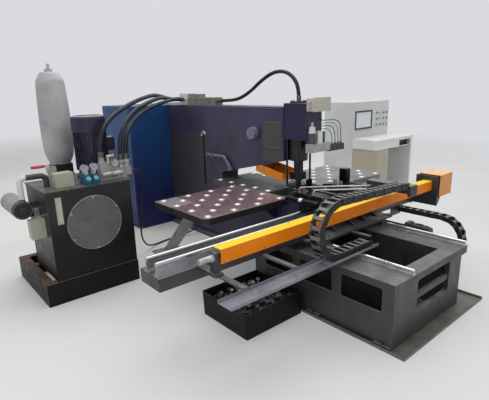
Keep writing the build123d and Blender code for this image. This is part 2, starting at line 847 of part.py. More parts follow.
# Saddle: two wings on four bearing blocks, with the brackets that the beam carries
saddle_block_front = -690
saddle_block_rear = -300
y_block_length = 100
front_wing_edge = beam_front - wing_reach
rear_wing_edge = beam_rear + wing_reach
wing_top = beam_bottom + wing_thick
trough_bars = [(-1500, beam_front), (-1050, beam_front), (-600, beam_front), (-170, front_wing_edge)]
y_block_height = beam_bottom - y_rail_z
y_block = bearing_block(y_block_length, 64, y_block_height, -15, y_rail_radius, y_neck, "y")
with BuildPart() as saddle:
    with Locations(
        (y_rail_left, saddle_block_front, y_rail_z),
        (y_rail_right, saddle_block_front, y_rail_z),
        (y_rail_left, saddle_block_rear, y_rail_z),
        (y_rail_right, saddle_block_rear, y_rail_z),
    ):
        add(y_block)
    box(wing_left, wing_right, front_wing_edge, beam_front, beam_bottom, wing_top)
    box(wing_left, wing_right, beam_rear, rear_wing_edge, beam_bottom, wing_top)
    for wing_y, outward in ((beam_front, -1), (beam_rear, 1)):
        for gusset_x in (-480, -300, -60, 120, 300):
            with BuildSketch(Plane.YZ.offset(gusset_x)):
                with BuildLine():
                    Polyline(
                        (wing_y, wing_top),
                        (wing_y + outward * 90, wing_top),
                        (wing_y, beam_top - 8),
                        close=True,
                    )
                make_face()
            extrude(amount=12)
    # bars that carry the chain trough
    for bar_x, bar_rear in trough_bars:
        box(bar_x - 20, bar_x + 20, trough_rear, bar_rear, beam_bottom, beam_bottom + 14)
    # nut housing of the Y screw, hung from the rear wing
    box(y_screw_x - 38, wing_right, rear_wing_edge - 45, rear_wing_edge, 470, beam_bottom)
    with BuildSketch(Plane.XZ.offset(-rear_wing_edge)):
        with Locations((y_screw_x, y_screw_z)):
            Circle(y_screw_radius + fit_gap)
    extrude(amount=45, mode=Mode.SUBTRACT)
    # plate that the Y chain is fixed to
    box(400, y_chain_x + y_chain_width / 2, y_chain_plate_y, y_chain_plate_y + 8, wing_top, 664)
    box(400, wing_right, y_chain_plate_y + 8, y_chain_plate_y + 60, wing_top, wing_top + 10)
write(saddle.part, "saddle")

# Long beam that the carriage runs along: box section with a rebated end cap
with BuildPart() as x_beam:
    box(beam_left, beam_right, beam_front, beam_rear, beam_bottom, beam_top)
    fillet(x_beam.edges().filter_by(Axis.X), 8)
    box(beam_left, beam_left + 4, beam_front, beam_rear, beam_bottom, beam_top, mode=Mode.SUBTRACT)
    box(beam_left, beam_left + 4, beam_front + 4, beam_rear - 4, beam_bottom + 4, beam_top - 4)
write(x_beam.part, "x_beam")

# Rails along X on the beam
x_rail_z = beam_top + x_rail_support + 11
x_rail_length = beam_right - beam_left
x_rail_mid = (beam_left + beam_right) / 2
x_neck = 16
x_support = rail_support(
    x_rail_length, 62, x_neck, x_rail_support + 3, x_rail_z - beam_top, x_rail_radius, "x")
with BuildPart() as x_rail_supports:
    with Locations((x_rail_mid, x_rail_front, beam_top), (x_rail_mid, x_rail_rear, beam_top)):
        add(x_support)
write(x_rail_supports.part, "x_rail_supports")

with BuildPart() as x_rails:
    with BuildSketch(Plane.YZ.offset(beam_left)):
        with Locations((x_rail_front, x_rail_z), (x_rail_rear, x_rail_z)):
            Circle(x_rail_radius)
    extrude(amount=x_rail_length)
    chamfer(x_rails.edges().filter_by(GeomType.CIRCLE), 1.5)
write(x_rails.part, "x_rails")

# Screw along X with its left bearing, right end bracket, motor cover and folded guard
x_bearing_left = guard_left - 34
end_plate_right = beam_right + 20
with BuildPart() as x_drive_mounts:
    box(x_bearing_left - 14, guard_left + 14, guard_front, beam_front, beam_top - 22, beam_top)
    box(x_bearing_left, guard_left, screw_y - 30, screw_y + 30, beam_top, screw_z + 36)
    fillet(x_drive_mounts.edges().filter_by(Axis.X).group_by(Axis.Z)[-1], 12)
    box(beam_right, end_plate_right, guard_front - 60, beam_rear, beam_bottom, beam_top)
    box(beam_right, end_plate_right, guard_front - 60, -640, beam_top, 848)
    box(beam_right - 60, beam_right, beam_front - 12, beam_front, beam_bottom, 640)
    for gusset_y in (guard_front - 60, guard_front - 20):
        with BuildSketch(Plane.XZ.offset(-gusset_y)):
            with BuildLine():
                Polyline(
                    (end_plate_right, 640),
                    (end_plate_right, beam_bottom),
                    (end_plate_right + 60, 640),
                    close=True,
                )
            make_face()
        extrude(amount=-12)
    with BuildSketch(Plane.YZ.offset(x_bearing_left)):
        with Locations((screw_y, screw_z)):
            Circle(x_screw_radius + fit_gap)
    extrude(amount=end_plate_right - x_bearing_left, mode=Mode.SUBTRACT)
    # motor behind the end plate, inside its cover
    box(end_plate_right, end_plate_right + 16, screw_y - 65, screw_y + 65, screw_z - 65, screw_z + 65)
    with BuildSketch(Plane.YZ.offset(end_plate_right + 16)):
        with Locations((screw_y, screw_z)):
            Circle(58)
    extrude(amount=190)
write(x_drive_mounts.part, "x_drive_mounts")

with BuildPart() as x_screw:
    with BuildSketch(Plane.YZ.offset(x_bearing_left)):
        with Locations((screw_y, screw_z)):
            Circle(x_screw_radius)
    extrude(amount=end_plate_right - x_bearing_left)
write(x_screw.part, "x_screw")

with BuildPart() as x_guard:
    with BuildSketch(Plane.YZ.offset(guard_left)):
        with BuildLine() as guard_line:
            Polyline(
                (guard_rear - guard_skin / 2, guard_top - 15),
                (guard_rear - guard_skin / 2, guard_top - guard_skin / 2),
                (guard_front + guard_skin / 2, guard_top - guard_skin / 2),
                (guard_front + guard_skin / 2, guard_bottom + guard_skin / 2),
                (guard_front + 25, guard_bottom + guard_skin / 2),
            )
            offset(amount=guard_skin / 2, kind=Kind.INTERSECTION)
        make_face()
    extrude(amount=beam_right - guard_left)
write(x_guard.part, "x_guard")

with BuildPart() as x_drive_cover:
    box(end_plate_right, 1355, -880, -660, 640, 860)
    fillet(x_drive_cover.edges().filter_by(Axis.X), 5)
    box(end_plate_right, 1351, -876, -664, 644, 856, mode=Mode.SUBTRACT)
write(x_drive_cover.part, "x_drive_cover")

# Trough that the X chain lies in
with BuildPart() as chain_trough:
    box(trough_left, trough_right, trough_front, trough_rear, trough_bottom, trough_bottom + trough_side)
    box(trough_left, trough_right, trough_front + trough_skin, trough_rear - trough_skin,
        trough_bottom + trough_skin, trough_bottom + trough_side, mode=Mode.SUBTRACT)
write(chain_trough.part, "chain_trough")

# Carriage: plate on four bearing blocks, riser and the arm that the chain ends on
x_block_length = 110
x_block_height = carriage_bottom - x_rail_z
x_block = bearing_block(x_block_length, 72, x_block_height, -22, x_rail_radius, x_neck, "x")
nut_left = -60
nut_length = 80
with BuildPart() as carriage_plate:
    box(carriage_left, carriage_right, carriage_front, carriage_rear, carriage_bottom,
        carriage_bottom + carriage_thick)
    chamfer(carriage_plate.edges().filter_by(Axis.Z), 8)
    for block_x in (carriage_left + 75, carriage_right - 75):
        with Locations((block_x, x_rail_front, x_rail_z), (block_x, x_rail_rear, x_rail_z)):
            add(x_block)
    box(arm_left, arm_right, carriage_front, -612, carriage_bottom + carriage_thick, arm_top - arm_thick)
    # nut housing on the X screw, reaching in under the rear lip of the guard
    nut_right = nut_left + nut_length
    box(nut_left, nut_right, screw_y - 28, screw_y + 28, screw_z - 28, screw_z + 34)
    box(nut_left, nut_right, screw_y + 28, carriage_front, carriage_bottom - 18, carriage_bottom + 10)
    box(nut_left, nut_right, carriage_front, carriage_front + 20, carriage_bottom - 18, carriage_bottom)
    with BuildSketch(Plane.YZ.offset(nut_left)):
        with Locations((screw_y, screw_z)):
            Circle(x_screw_radius + fit_gap)
    extrude(amount=nut_length, mode=Mode.SUBTRACT)
write(carriage_plate.part, "carriage_plate")

with BuildPart() as chain_arm:
    box(arm_left, arm_right, arm_front + 26, -645, arm_top - arm_thick, arm_top)
    box(arm_left + 4, arm_right - 4, arm_front + 30, -720, arm_top - arm_thick, arm_top - 5, mode=Mode.SUBTRACT)
    box(arm_left, arm_right + 3, arm_front, arm_front + 26, arm_top - arm_thick - 22, arm_top + 3)
write(chain_arm.part, "chain_arm")

# Plate clamps: a body with two cheeks and a lower lip, and a jaw pivoted between the cheeks
cheek_front = -250
jaw_half = clamp_half - clamp_cheek - 1
clamp_floor = carriage_bottom + carriage_thick


def clamp_body(centre_x):
    """Clamp body: floor block, two cheeks, lower lip and the pivot pin."""
    with BuildPart() as body:
        box(centre_x - clamp_half, centre_x + clamp_half, clamp_back, carriage_rear, clamp_floor, 800)
        box(centre_x - clamp_half, centre_x + clamp_half, carriage_rear + 1, clamp_tip,
            clamp_lip_bottom, clamp_lip_top)
        box(centre_x - clamp_half, centre_x + clamp_half, carriage_rear + 1, -385, clamp_lip_bottom, 800)
        box(centre_x - clamp_half, centre_x + clamp_half, carriage_rear - 2, carriage_rear + 2, clamp_floor, 800)
        chamfer(body.faces().sort_by(Axis.Y)[-1].edges().sort_by(Axis.Z)[0], 14)
        for side in (-1, 1):
            with BuildSketch(Plane.YZ.offset(centre_x + side * clamp_half)):
                with BuildLine():
                    Polyline(
                        (clamp_back, clamp_floor),
                        (clamp_back, clamp_top - 24),
                        (clamp_back + 24, clamp_top),
                        (cheek_front - 30, clamp_top),
                        (cheek_front, clamp_top - 24),
                        (cheek_front, clamp_lip_top),
                        (carriage_rear + 1, clamp_lip_top),
                        (carriage_rear + 1, clamp_floor),
                        close=True,
                    )
                make_face()
            extrude(amount=-side * clamp_cheek)
        with BuildSketch(Plane.YZ.offset(centre_x - clamp_half)):
            with Locations((jaw_pivot_y, jaw_pivot_z)):
                Circle(jaw_pin_radius)
        extrude(amount=2 * clamp_half)
    return body.part


def clamp_jaw(centre_x):
    """Rocking jaw, bored for the pivot pin, with its nose over the lower lip."""
    with BuildPart() as jaw:
        with BuildSketch(Plane.YZ.offset(centre_x)):
            with BuildLine():
                Polyline(
                    (clamp_back + 18, 806),
                    (clamp_back + 18, 828),
                    (jaw_pivot_y - 60, 842),
                    (jaw_pivot_y + 60, 842),
                    (cheek_front, 838),
                    (clamp_tip - 14, 826),
                    (clamp_tip, 818),
                    (clamp_tip, 803),
                    (cheek_front + 20, 801),
                    (cheek_front - 20, 806),
                    close=True,
                )
            make_face()
            with Locations((jaw_pivot_y, jaw_pivot_z)):
                Circle(jaw_pin_radius + fit_gap, mode=Mode.SUBTRACT)
        extrude(amount=jaw_half, both=True)
    return jaw.part


write(clamp_body(clamp_left_x), "clamp_body_left")
write(clamp_body(clamp_right_x), "clamp_body_right")
write(clamp_jaw(clamp_left_x), "clamp_jaw_left")
write(clamp_jaw(clamp_right_x), "clamp_jaw_right")


# Drag chains: links with walls that overlap at the pins and cross bars above and below


def chain_link(width, height, wall_inset):
    """One link about its middle: two walls with tapered ends, two cross bars."""
    half = link_pitch / 2 + link_reach
    slope = height * 0.3
    top = height / 2
    with BuildPart() as link:
        for side in (-1, 1):
            with BuildSketch(Plane.XZ.offset(side * (width / 2 - wall_inset))):
                with BuildLine():
                    Polyline(
                        (-half, top - slope),
                        (-half + slope, top),
                        (half - slope, top),
                        (half, top - slope),
                        (half, slope - top),
                        (half - slope, -top),
                        (slope - half, -top),
                        (-half, slope - top),
                        close=True,
                    )
                make_face()
            extrude(amount=-side * link_wall)
        reach = width / 2 - wall_inset - link_wall
        box(-link_bar / 2, link_bar / 2, -reach, reach, top - 6, top - 1)
        box(-link_bar / 2, link_bar / 2, -reach, reach, 1 - top, 6 - top)
    return link.part


def drag_chain(path, width, height, across):
    """Links along a path, wide walls and narrow walls by turns."""
    wide = chain_link(width, height, 0)
    narrow = chain_link(width, height, link_wall + fit_gap)
    count = round(path.length / link_pitch)
    with BuildPart() as chain:
        for index in range(count):
            start = path.position_at(index / count)
            end = path.position_at((index + 1) / count)
            along = end - start
            place = Plane(origin=(start + end) / 2, x_dir=along, z_dir=along.cross(across))
            add((wide if index % 2 == 0 else narrow).moved(place.location))
    return chain.part


x_chain_top = x_chain_low + 2 * x_chain_radius
x_chain_end_x = arm_left - link_reach - 1.4
with BuildLine(Plane.XZ) as x_chain_path:
    Line((x_chain_fixed_x, x_chain_low), (x_chain_bend_x, x_chain_low))
    CenterArc((x_chain_bend_x, x_chain_low + x_chain_radius), x_chain_radius, 270, -180)
    Line((x_chain_bend_x, x_chain_top), (x_chain_end_x, x_chain_end_z))
x_chain = drag_chain(x_chain_path.wire(), x_chain_width, x_chain_height, Vector(0, 1, 0))
x_chain.position = (0, x_chain_y, 0)
write(x_chain, "x_chain")

y_chain_top = y_chain_low + 2 * y_chain_radius
y_chain_end_y = y_chain_plate_y - link_reach - 0.5
with BuildLine(Plane.YZ) as y_chain_path:
    Line((y_chain_end_y, y_chain_top), (y_chain_bend_y, y_chain_top))
    CenterArc((y_chain_bend_y, y_chain_low + y_chain_radius), y_chain_radius, 90, 180)
    Line((y_chain_bend_y, y_chain_low), (y_chain_fixed_y, y_chain_low))
y_chain = drag_chain(y_chain_path.wire(), y_chain_width, y_chain_height, Vector(1, 0, 0))
y_chain.position = (y_chain_x, 0, 0)
write(y_chain, "y_chain")

# Pipework, valves and pushing cylinders of the clamps
clamp_pipe_radius = 7
pipe_z = 895
pipe_left_x = clamp_left_x - clamp_half + 15
pipe_drop = -0.845 * (arm_left - 45 - pipe_left_x)
with BuildPart() as clamp_pipework:
    for pipe_y in (-310, -467):
        turn = [
            (pipe_left_x, pipe_y, clamp_top),
            (pipe_left_x, pipe_y, pipe_z),
            (arm_left - 45, pipe_y + pipe_drop, pipe_z),
            (arm_left, pipe_y + pipe_drop, pipe_z),
        ]
        add(tube(turn, clamp_pipe_radius, 24))
        with Locations((pipe_left_x, pipe_y, clamp_top)):
            Cylinder(11, 12, align=(Align.CENTER, Align.CENTER, Align.MIN))
    # pushing cylinder beside the left clamp, with its bracket
    with BuildSketch(Plane.XZ.offset(237)):
        with Locations((clamp_left_x - clamp_half - 60, 800)):
            Circle(30)
    extrude(amount=356)
    box(clamp_left_x - clamp_half - 52, clamp_left_x - clamp_half, -570, -520, 785, 815)
    box(clamp_left_x - clamp_half - 52, clamp_left_x - clamp_half, -330, -290, 785, 815)
    # valve block on the left clamp and the taller one on the right clamp
    box(-210, clamp_left_x + clamp_half, -292, cheek_front - 32, clamp_top, clamp_top + 95)
    box(clamp_right_x + clamp_half - 60, clamp_right_x + clamp_half + 4, -360, cheek_front - 32,
        clamp_top, clamp_top + 128)
    with Locations((clamp_right_x - 84, -330, clamp_top)):
        Cylinder(15, 52, align=(Align.CENTER, Align.CENTER, Align.MIN))
    with Locations((clamp_right_x - 84, -400, clamp_top)):
        Cylinder(12, 40, align=(Align.CENTER, Align.CENTER, Align.MIN))
write(clamp_pipework.part, "clamp_pipework")

# Hydraulic power unit: base frame of channels
with BuildPart() as unit_base:
    box(unit_left, unit_right, unit_front, unit_rear, 0, unit_base_height)
    box(unit_left + 75, unit_right - 75, unit_front + 75, unit_rear - 75, 0, unit_base_height, mode=Mode.SUBTRACT)
    with BuildSketch(Plane.XY.offset(12)):
        with Locations(((unit_left + unit_right) / 2, (unit_front + unit_rear) / 2)):
            Rectangle(unit_right - unit_left - 20, unit_rear - unit_front - 20)
    extrude(amount=unit_base_height - 24, mode=Mode.SUBTRACT)
    box(unit_left + 10, unit_right - 10, tank_rear - 75, tank_rear, unit_base_height - 12, unit_base_height)
write(unit_base.part, "unit_base")

# Oil tank with its top plate, level gauge, accumulator shelf and small side box
shelf_front = tank_rear
shelf_rear = 1730
shelf_top = 955
side_box_front = 925
side_box_reach = 117
with BuildPart() as tank:
    box(tank_left, tank_right, tank_front, tank_rear, unit_base_height, tank_top - 12)
    fillet(tank.edges().filter_by(Axis.Z), 10)
    box(tank_left - 5, tank_right + 5, tank_front - 5, tank_rear + 5, tank_top - 12, tank_top)
    box(-2032, -1998, tank_front - 12, tank_front, 700, 910)
    box(accumulator_x - 150, accumulator_x + 150, shelf_front, shelf_rear, shelf_top - 14, shelf_top)
    for gusset_x in (accumulator_x - 150, accumulator_x + 138):
        with BuildSketch(Plane.YZ.offset(gusset_x)):
            with BuildLine():
                Polyline(
                    (shelf_front, shelf_top - 14),
                    (shelf_rear - 20, shelf_top - 14),
                    (shelf_front, shelf_top - 300),
                    close=True,
                )
            make_face()
        extrude(amount=12)
    box(accumulator_x - 85, accumulator_x + 85, accumulator_y - 85, accumulator_y + 85,
        shelf_top, accumulator_bottom)
    box(tank_left - side_box_reach, tank_left, side_box_front, side_box_front + 90, 572, 734)
    box(-1985, -1833, 900, 1020, tank_top, 1095)
write(tank.part, "tank")

with BuildPart() as tank_cover:
    with BuildSketch(Plane.XZ.offset(-tank_front)):
        with Locations((cover_x, cover_z)):
            Circle(cover_radius)
    extrude(amount=cover_thick)
    chamfer(tank_cover.faces().sort_by(Axis.Y)[0].edges(), 3)
    with BuildSketch(Plane.XZ.offset(-tank_front + cover_thick)):
        with Locations((cover_x, cover_z)):
            with PolarLocations(cover_radius - 18, 6, 20):
                RegularPolygon(9, 6)
    extrude(amount=7)
write(tank_cover.part, "tank_cover")

# Gas accumulator: domed shell with its neck and charging valve
with BuildPart() as accumulator:
    with BuildSketch(Plane.XZ):
        with BuildLine():
            Line((0, accumulator_bottom), (70, accumulator_bottom))
            Line((70, accumulator_bottom), (70, accumulator_bottom + 18))
            Spline(
                (70, accumulator_bottom + 18),
                (128, accumulator_bottom + 90),
                (accumulator_radius, accumulator_bottom + 230),
                tangents=((0.25, 1), (0, 1)),
            )
            Line((accumulator_radius, accumulator_bottom + 230), (accumulator_radius, accumulator_top - 150))
            Spline(
                (accumulator_radius, accumulator_top - 150),
                (112, accumulator_top - 48),
                (36, accumulator_top),
                tangents=((0, 1), (-1, 0.25)),
            )
            Polyline(
                (36, accumulator_top),
                (36, accumulator_top + 24),
                (15, accumulator_top + 24),
                (15, accumulator_top + 74),
                (0, accumulator_top + 74),
                (0, accumulator_bottom),
            )
        make_face()
    revolve(axis=Axis.Z)
accumulator.part.position = (accumulator_x, accumulator_y, 0)
write(accumulator.part, "accumulator")

# Upright pump motor: flange, finned body, light fan cowl and terminal box
with BuildPart() as pump_motor:
    with Locations((motor_x, motor_y, tank_top)):
        Cylinder(motor_radius - 5, 30, align=(Align.CENTER, Align.CENTER, Align.MIN))
        Cylinder(motor_radius - 14, motor_top - tank_top - 20, align=(Align.CENTER, Align.CENTER, Align.MIN))
    with BuildSketch(Plane.XY.offset(tank_top + 60)):
        with Locations((motor_x, motor_y)):
            with PolarLocations(motor_radius - 10, 32):
                Rectangle(20, 6)
    extrude(amount=360)
    with Locations((motor_x, motor_y, motor_top - 130)):
        Cylinder(motor_radius + 3, 130, align=(Align.CENTER, Align.CENTER, Align.MIN))
    fillet(pump_motor.faces().sort_by(Axis.Z)[-1].edges(), 26)
    box(motor_x + motor_radius - 20, motor_x + motor_radius + 50, motor_y - 60, motor_y + 50,
        tank_top + 230, tank_top + 360)
write(pump_motor.part, "pump_motor")

# Circulating pump motor beside the tank, on brackets, with its suction pipe
suction_y = 1060
suction_top = 1075
suction_inlet_x = -2015
with BuildPart() as side_motor:
    with BuildSketch(Plane.XZ.offset(-side_motor_front)):
        with Locations((side_motor_x, side_motor_z)):
            Circle(side_motor_radius)
    extrude(amount=side_motor_front - side_motor_rear)
    fillet(side_motor.faces().sort_by(Axis.Y)[0].edges(), 12)
    for bracket_front in (1060, 1340):
        box(side_motor_x, tank_left, bracket_front, bracket_front + 40, side_motor_z - 76, side_motor_z - 20)
    suction = [
        (side_motor_x + 15, suction_y, side_motor_z + 50),
        (side_motor_x + 15, suction_y, suction_top),
        (suction_inlet_x, suction_y, suction_top),
        (suction_inlet_x, suction_y, tank_top),
    ]
    add(tube(suction, 24, 46))
write(side_motor.part, "side_motor")

# Manifold on the tank top: block, solenoid valves, gauges, ball valve body and pipe stubs
valve_x = -1950
valve_y = 1100
valve_body_bottom = 1075
valve_body_top = 1130
valve_stem_top = 1142
manifold_left = -1592
manifold_right = -1349
manifold_step = 1068
manifold_top = 1127
manifold_port_top = 1140
port_radius = 26
port_top = 1180
port_a_x = -1560
port_a_y = 945
port_b_x = -1375
port_c_x = -1322
port_y = 950
with BuildPart() as manifold:
    box(manifold_left, manifold_right, 905, 985, tank_top, manifold_step)
    box(manifold_left, manifold_right - 91, 915, 975, manifold_step, manifold_top)
    box(manifold_right, manifold_right + 54, 915, 985, 1000, manifold_step)
    for port_x in (port_b_x, port_c_x):
        with Locations((port_x, port_y, manifold_step - 30)):
            Cylinder(port_radius, manifold_port_top - manifold_step + 30,
                     align=(Align.CENTER, Align.CENTER, Align.MIN))
    with Locations((port_a_x, port_a_y, manifold_top - 10)):
        Cylinder(port_radius, port_top - manifold_top + 10, align=(Align.CENTER, Align.CENTER, Align.MIN))
    for solenoid_x in (-1738, -1672):
        box(solenoid_x - 30, solenoid_x + 30, 830, 960, tank_top, 1062)
        with BuildSketch(Plane.XZ.offset(-830)):
            with Locations((solenoid_x, 1034)):
                Circle(13)
        extrude(amount=22)
    for gauge_x, gauge_z in ((-1745, 1116), (-1662, 1120), (-1468, 1130)):
        with BuildSketch(Plane.XZ.offset(-862)):
            with Locations((gauge_x, gauge_z)):
                Circle(35)
        extrude(amount=-30)
        with BuildSketch(Plane.XZ.offset(-892)):
            with Locations((gauge_x, gauge_z)):
                Circle(9)
        extrude(amount=-45)
        with Locations((gauge_x, 930, tank_top)):
            Cylinder(10, gauge_z - tank_top + 6, align=(Align.CENTER, Align.CENTER, Align.MIN))
    with Locations((valve_x, valve_y, tank_top)):
        Cylinder(20, valve_body_bottom - tank_top, align=(Align.CENTER, Align.CENTER, Align.MIN))
    box(valve_x - 35, valve_x + 35, valve_y - 30, valve_y + 30, valve_body_bottom, valve_body_top)
    with Locations((valve_x, valve_y, valve_body_top)):
        Cylinder(9, valve_stem_top - valve_body_top, align=(Align.CENTER, Align.CENTER, Align.MIN))
write(manifold.part, "manifold")

# Lever of the ball valve; it turns a quarter turn about the valve's stem
with BuildPart() as valve_lever:
    with BuildSketch(Plane.XY.offset(valve_stem_top + fit_gap)):
        with Locations((valve_x, valve_y)):
            Circle(17)
        with Locations((valve_x - 40, valve_y)):
            RectangleRounded(90, 26, 10)
    extrude(amount=8)
    with BuildSketch(Plane.XY.offset(valve_stem_top - 8)):
        with Locations((valve_x - 105, valve_y)):
            Ellipse(57, 24)
    extrude(amount=24)
    fillet(valve_lever.faces().group_by(Axis.Z)[0].edges(), 7)
    fillet(valve_lever.faces().group_by(Axis.Z)[-1].edges(), 7)
write(valve_lever.part, "valve_lever")

# Pressure hoses from the power unit up and over to the valve block on the arm
hose_port_x = -96
hose_port_z = frame_top + 70
hose_routes = {
    "hose_a": [
        (port_a_x, port_a_y, port_top + 0.2), (port_a_x, port_a_y, 1300), (-1506, 972, 1428), (-1385, 1032, 1530),
        (-1180, 1150, 1610), (-910, 1340, 1672), (-620, 1600, 1700), (-390, 1840, 1678),
        (-216, hose_ports[2], hose_port_z), (hose_port_x, hose_ports[2], hose_port_z),
    ],
    "hose_b": [
        (port_b_x, port_y, manifold_port_top + 0.2), (port_b_x, port_y, 1280), (-1302, 1003, 1430), (-1140, 1116, 1555),
        (-860, 1310, 1632), (-560, 1570, 1668), (-365, 1795, 1655), (-216, hose_ports[1], hose_port_z),
        (hose_port_x, hose_ports[1], hose_port_z),
    ],
    "hose_c": [
        (port_c_x, port_y, manifold_port_top + 0.2), (port_c_x, port_y, 1272), (-1265, 992, 1392),
        (-1150, 1082, 1480), (-960, 1225, 1552), (-700, 1420, 1600), (-470, 1600, 1622), (-350, 1755, 1628),
        (-216, hose_ports[0], hose_port_z), (hose_port_x, hose_ports[0], hose_port_z),
    ],
}
for hose_name, hose_route in hose_routes.items():
    print(hose_name, "radii", [round(radius) for radius in cord_radii(hose_route)])
    write(tube(hose_route, hose_radius, cord_radii(hose_route)), hose_name)

top_hose_route = [
    (0, top_block_front - 30.2, 1615), (0, 1090, 1615), (10, 890, 1630), (12, 700, 1705),
    (0, 515, 1812), (0, 345, 1888), (0, 185, 1895), (0, 60, 1830), (0, 0, 1720), (0, 0, head_top + 16.2),
]
print("top_hose radii", [round(radius) for radius in cord_radii(top_hose_route)])
write(tube(top_hose_route, top_hose_radius, cord_radii(top_hose_route)), "top_hose")

unit_cable_route = [
    (-1294.8, 950, 1030), (-1238, 950, 1030), (-1188, 952, 1002), (-1158, 956, 948), (-1152, 965, 875),
    (-1160, 990, 760), (-1166, 1030, 600), (-1168, 1090, 420), (-1120, 1200, 250), (-1000, 1350, 90),
    (-840, 1480, 12), (-640, 1540, 12), (-440, 1530, 14), (-300, 1505, 50), (-195, 1500, 90),
    (-frame_half_width - 0.2, 1500, 90),
]
print("unit_cable radii", [round(radius) for radius in cord_radii(unit_cable_route)])
write(tube(unit_cable_route, cable_radius, cord_radii(unit_cable_route)), "unit_cable")

# Operator's console: cabinet with a screen and three rows of buttons, and a desk with a drawer
console_right = console_left + console_width
with BuildPart() as console_cabinet:
    box(console_left, console_right, console_front, console_rear, 30, console_top)
    fillet(console_cabinet.edges().filter_by(Axis.Z), 8)
    box(console_left + 20, console_right - 20, console_front + 20, console_rear - 20, 0, 30)
    box(console_left + 35, console_left + 490, console_front - 14, console_front, 1060, 1350)
    box(console_left + 62, console_left + 463, console_front - 15, console_front - 8, 1085, 1325, mode=Mode.SUBTRACT)
    with BuildSketch(Plane.XZ.offset(-console_front)):
        with Locations((console_left + 770, 1200)):
            with GridLocations(95, 95, 4, 3):
                Circle(14)
    extrude(amount=16)
write(console_cabinet.part, "console_cabinet")

desk_right = 3650
with BuildPart() as console_desk:
    box(console_left, desk_right, desk_front, console_front, desk_top - desk_thick, desk_top)
    box(console_left, desk_right, desk_front + 6, console_front, desk_top - 150, desk_top - desk_thick)
    box(console_left + 10, console_left + 350, desk_front + 10, console_front, 0, desk_top - 150)
    box(console_left + 14, console_left + 346, desk_front + 6, desk_front + 10, 40, desk_top - 170)
    box(desk_right - 40, desk_right, desk_front + 10, console_front, 0, desk_top - 150)
    box(3250, 3590, desk_front + 6, desk_front + 70, desk_top - 138, desk_top - 52, mode=Mode.SUBTRACT)
write(console_desk.part, "console_desk")
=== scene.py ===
import math
import random

import bmesh
import bpy
from mathutils import Matrix, Vector


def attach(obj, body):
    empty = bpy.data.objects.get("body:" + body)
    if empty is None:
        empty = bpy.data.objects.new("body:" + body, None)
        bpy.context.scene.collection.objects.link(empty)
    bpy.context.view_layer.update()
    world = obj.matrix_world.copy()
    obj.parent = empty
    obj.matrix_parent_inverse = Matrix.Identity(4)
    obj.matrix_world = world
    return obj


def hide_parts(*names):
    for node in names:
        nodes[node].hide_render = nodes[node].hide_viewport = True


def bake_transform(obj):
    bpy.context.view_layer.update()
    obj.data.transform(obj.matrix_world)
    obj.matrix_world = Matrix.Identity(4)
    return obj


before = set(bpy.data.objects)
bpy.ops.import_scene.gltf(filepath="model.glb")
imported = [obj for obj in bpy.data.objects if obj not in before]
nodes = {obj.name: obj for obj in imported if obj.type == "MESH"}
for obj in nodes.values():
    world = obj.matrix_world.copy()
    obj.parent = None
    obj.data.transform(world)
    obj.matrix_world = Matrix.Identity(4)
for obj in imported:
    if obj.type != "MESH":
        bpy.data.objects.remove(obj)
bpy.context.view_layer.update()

# Camera at the photograph's viewing angle
CAMERA_PLACE = (-3.030, -2.760, 1.750)
CAMERA_YAW = 40.21
CAMERA_PITCH = 14.78
CAMERA_ROLL = -1.59
CAMERA_LENS = 31.33


def make_camera():
    yaw, pitch, roll = (math.radians(v) for v in (CAMERA_YAW, CAMERA_PITCH, CAMERA_ROLL))
    ahead = Vector((math.cos(pitch) * math.sin(yaw), math.cos(pitch) * math.cos(yaw), -math.sin(pitch)))
    right = Vector((math.cos(yaw), -math.sin(yaw), 0))
    up = right.cross(ahead)
    right_rolled = math.cos(roll) * right + math.sin(roll) * up
    up_rolled = math.cos(roll) * up - math.sin(roll) * right
    turn = Matrix((right_rolled, up_rolled, -ahead)).transposed().to_4x4()
    data = bpy.data.cameras.new("camera")
    data.lens = CAMERA_LENS
    data.sensor_width = 36
    data.clip_end = 100
    camera = bpy.data.objects.new("camera", data)
    camera.matrix_world = Matrix.Translation(CAMERA_PLACE) @ turn
    bpy.context.scene.collection.objects.link(camera)
    bpy.context.scene.camera = camera


make_camera()


# Node helpers for the materials
def linear(red, green, blue):
    """A colour given as screen values 0 to 255, as the linear colour that a shader takes."""
    def one(value):
        value /= 255
        return value / 12.92 if value <= 0.04045 else ((value + 0.055) / 1.055) ** 2.4
    return (one(red), one(green), one(blue), 1)


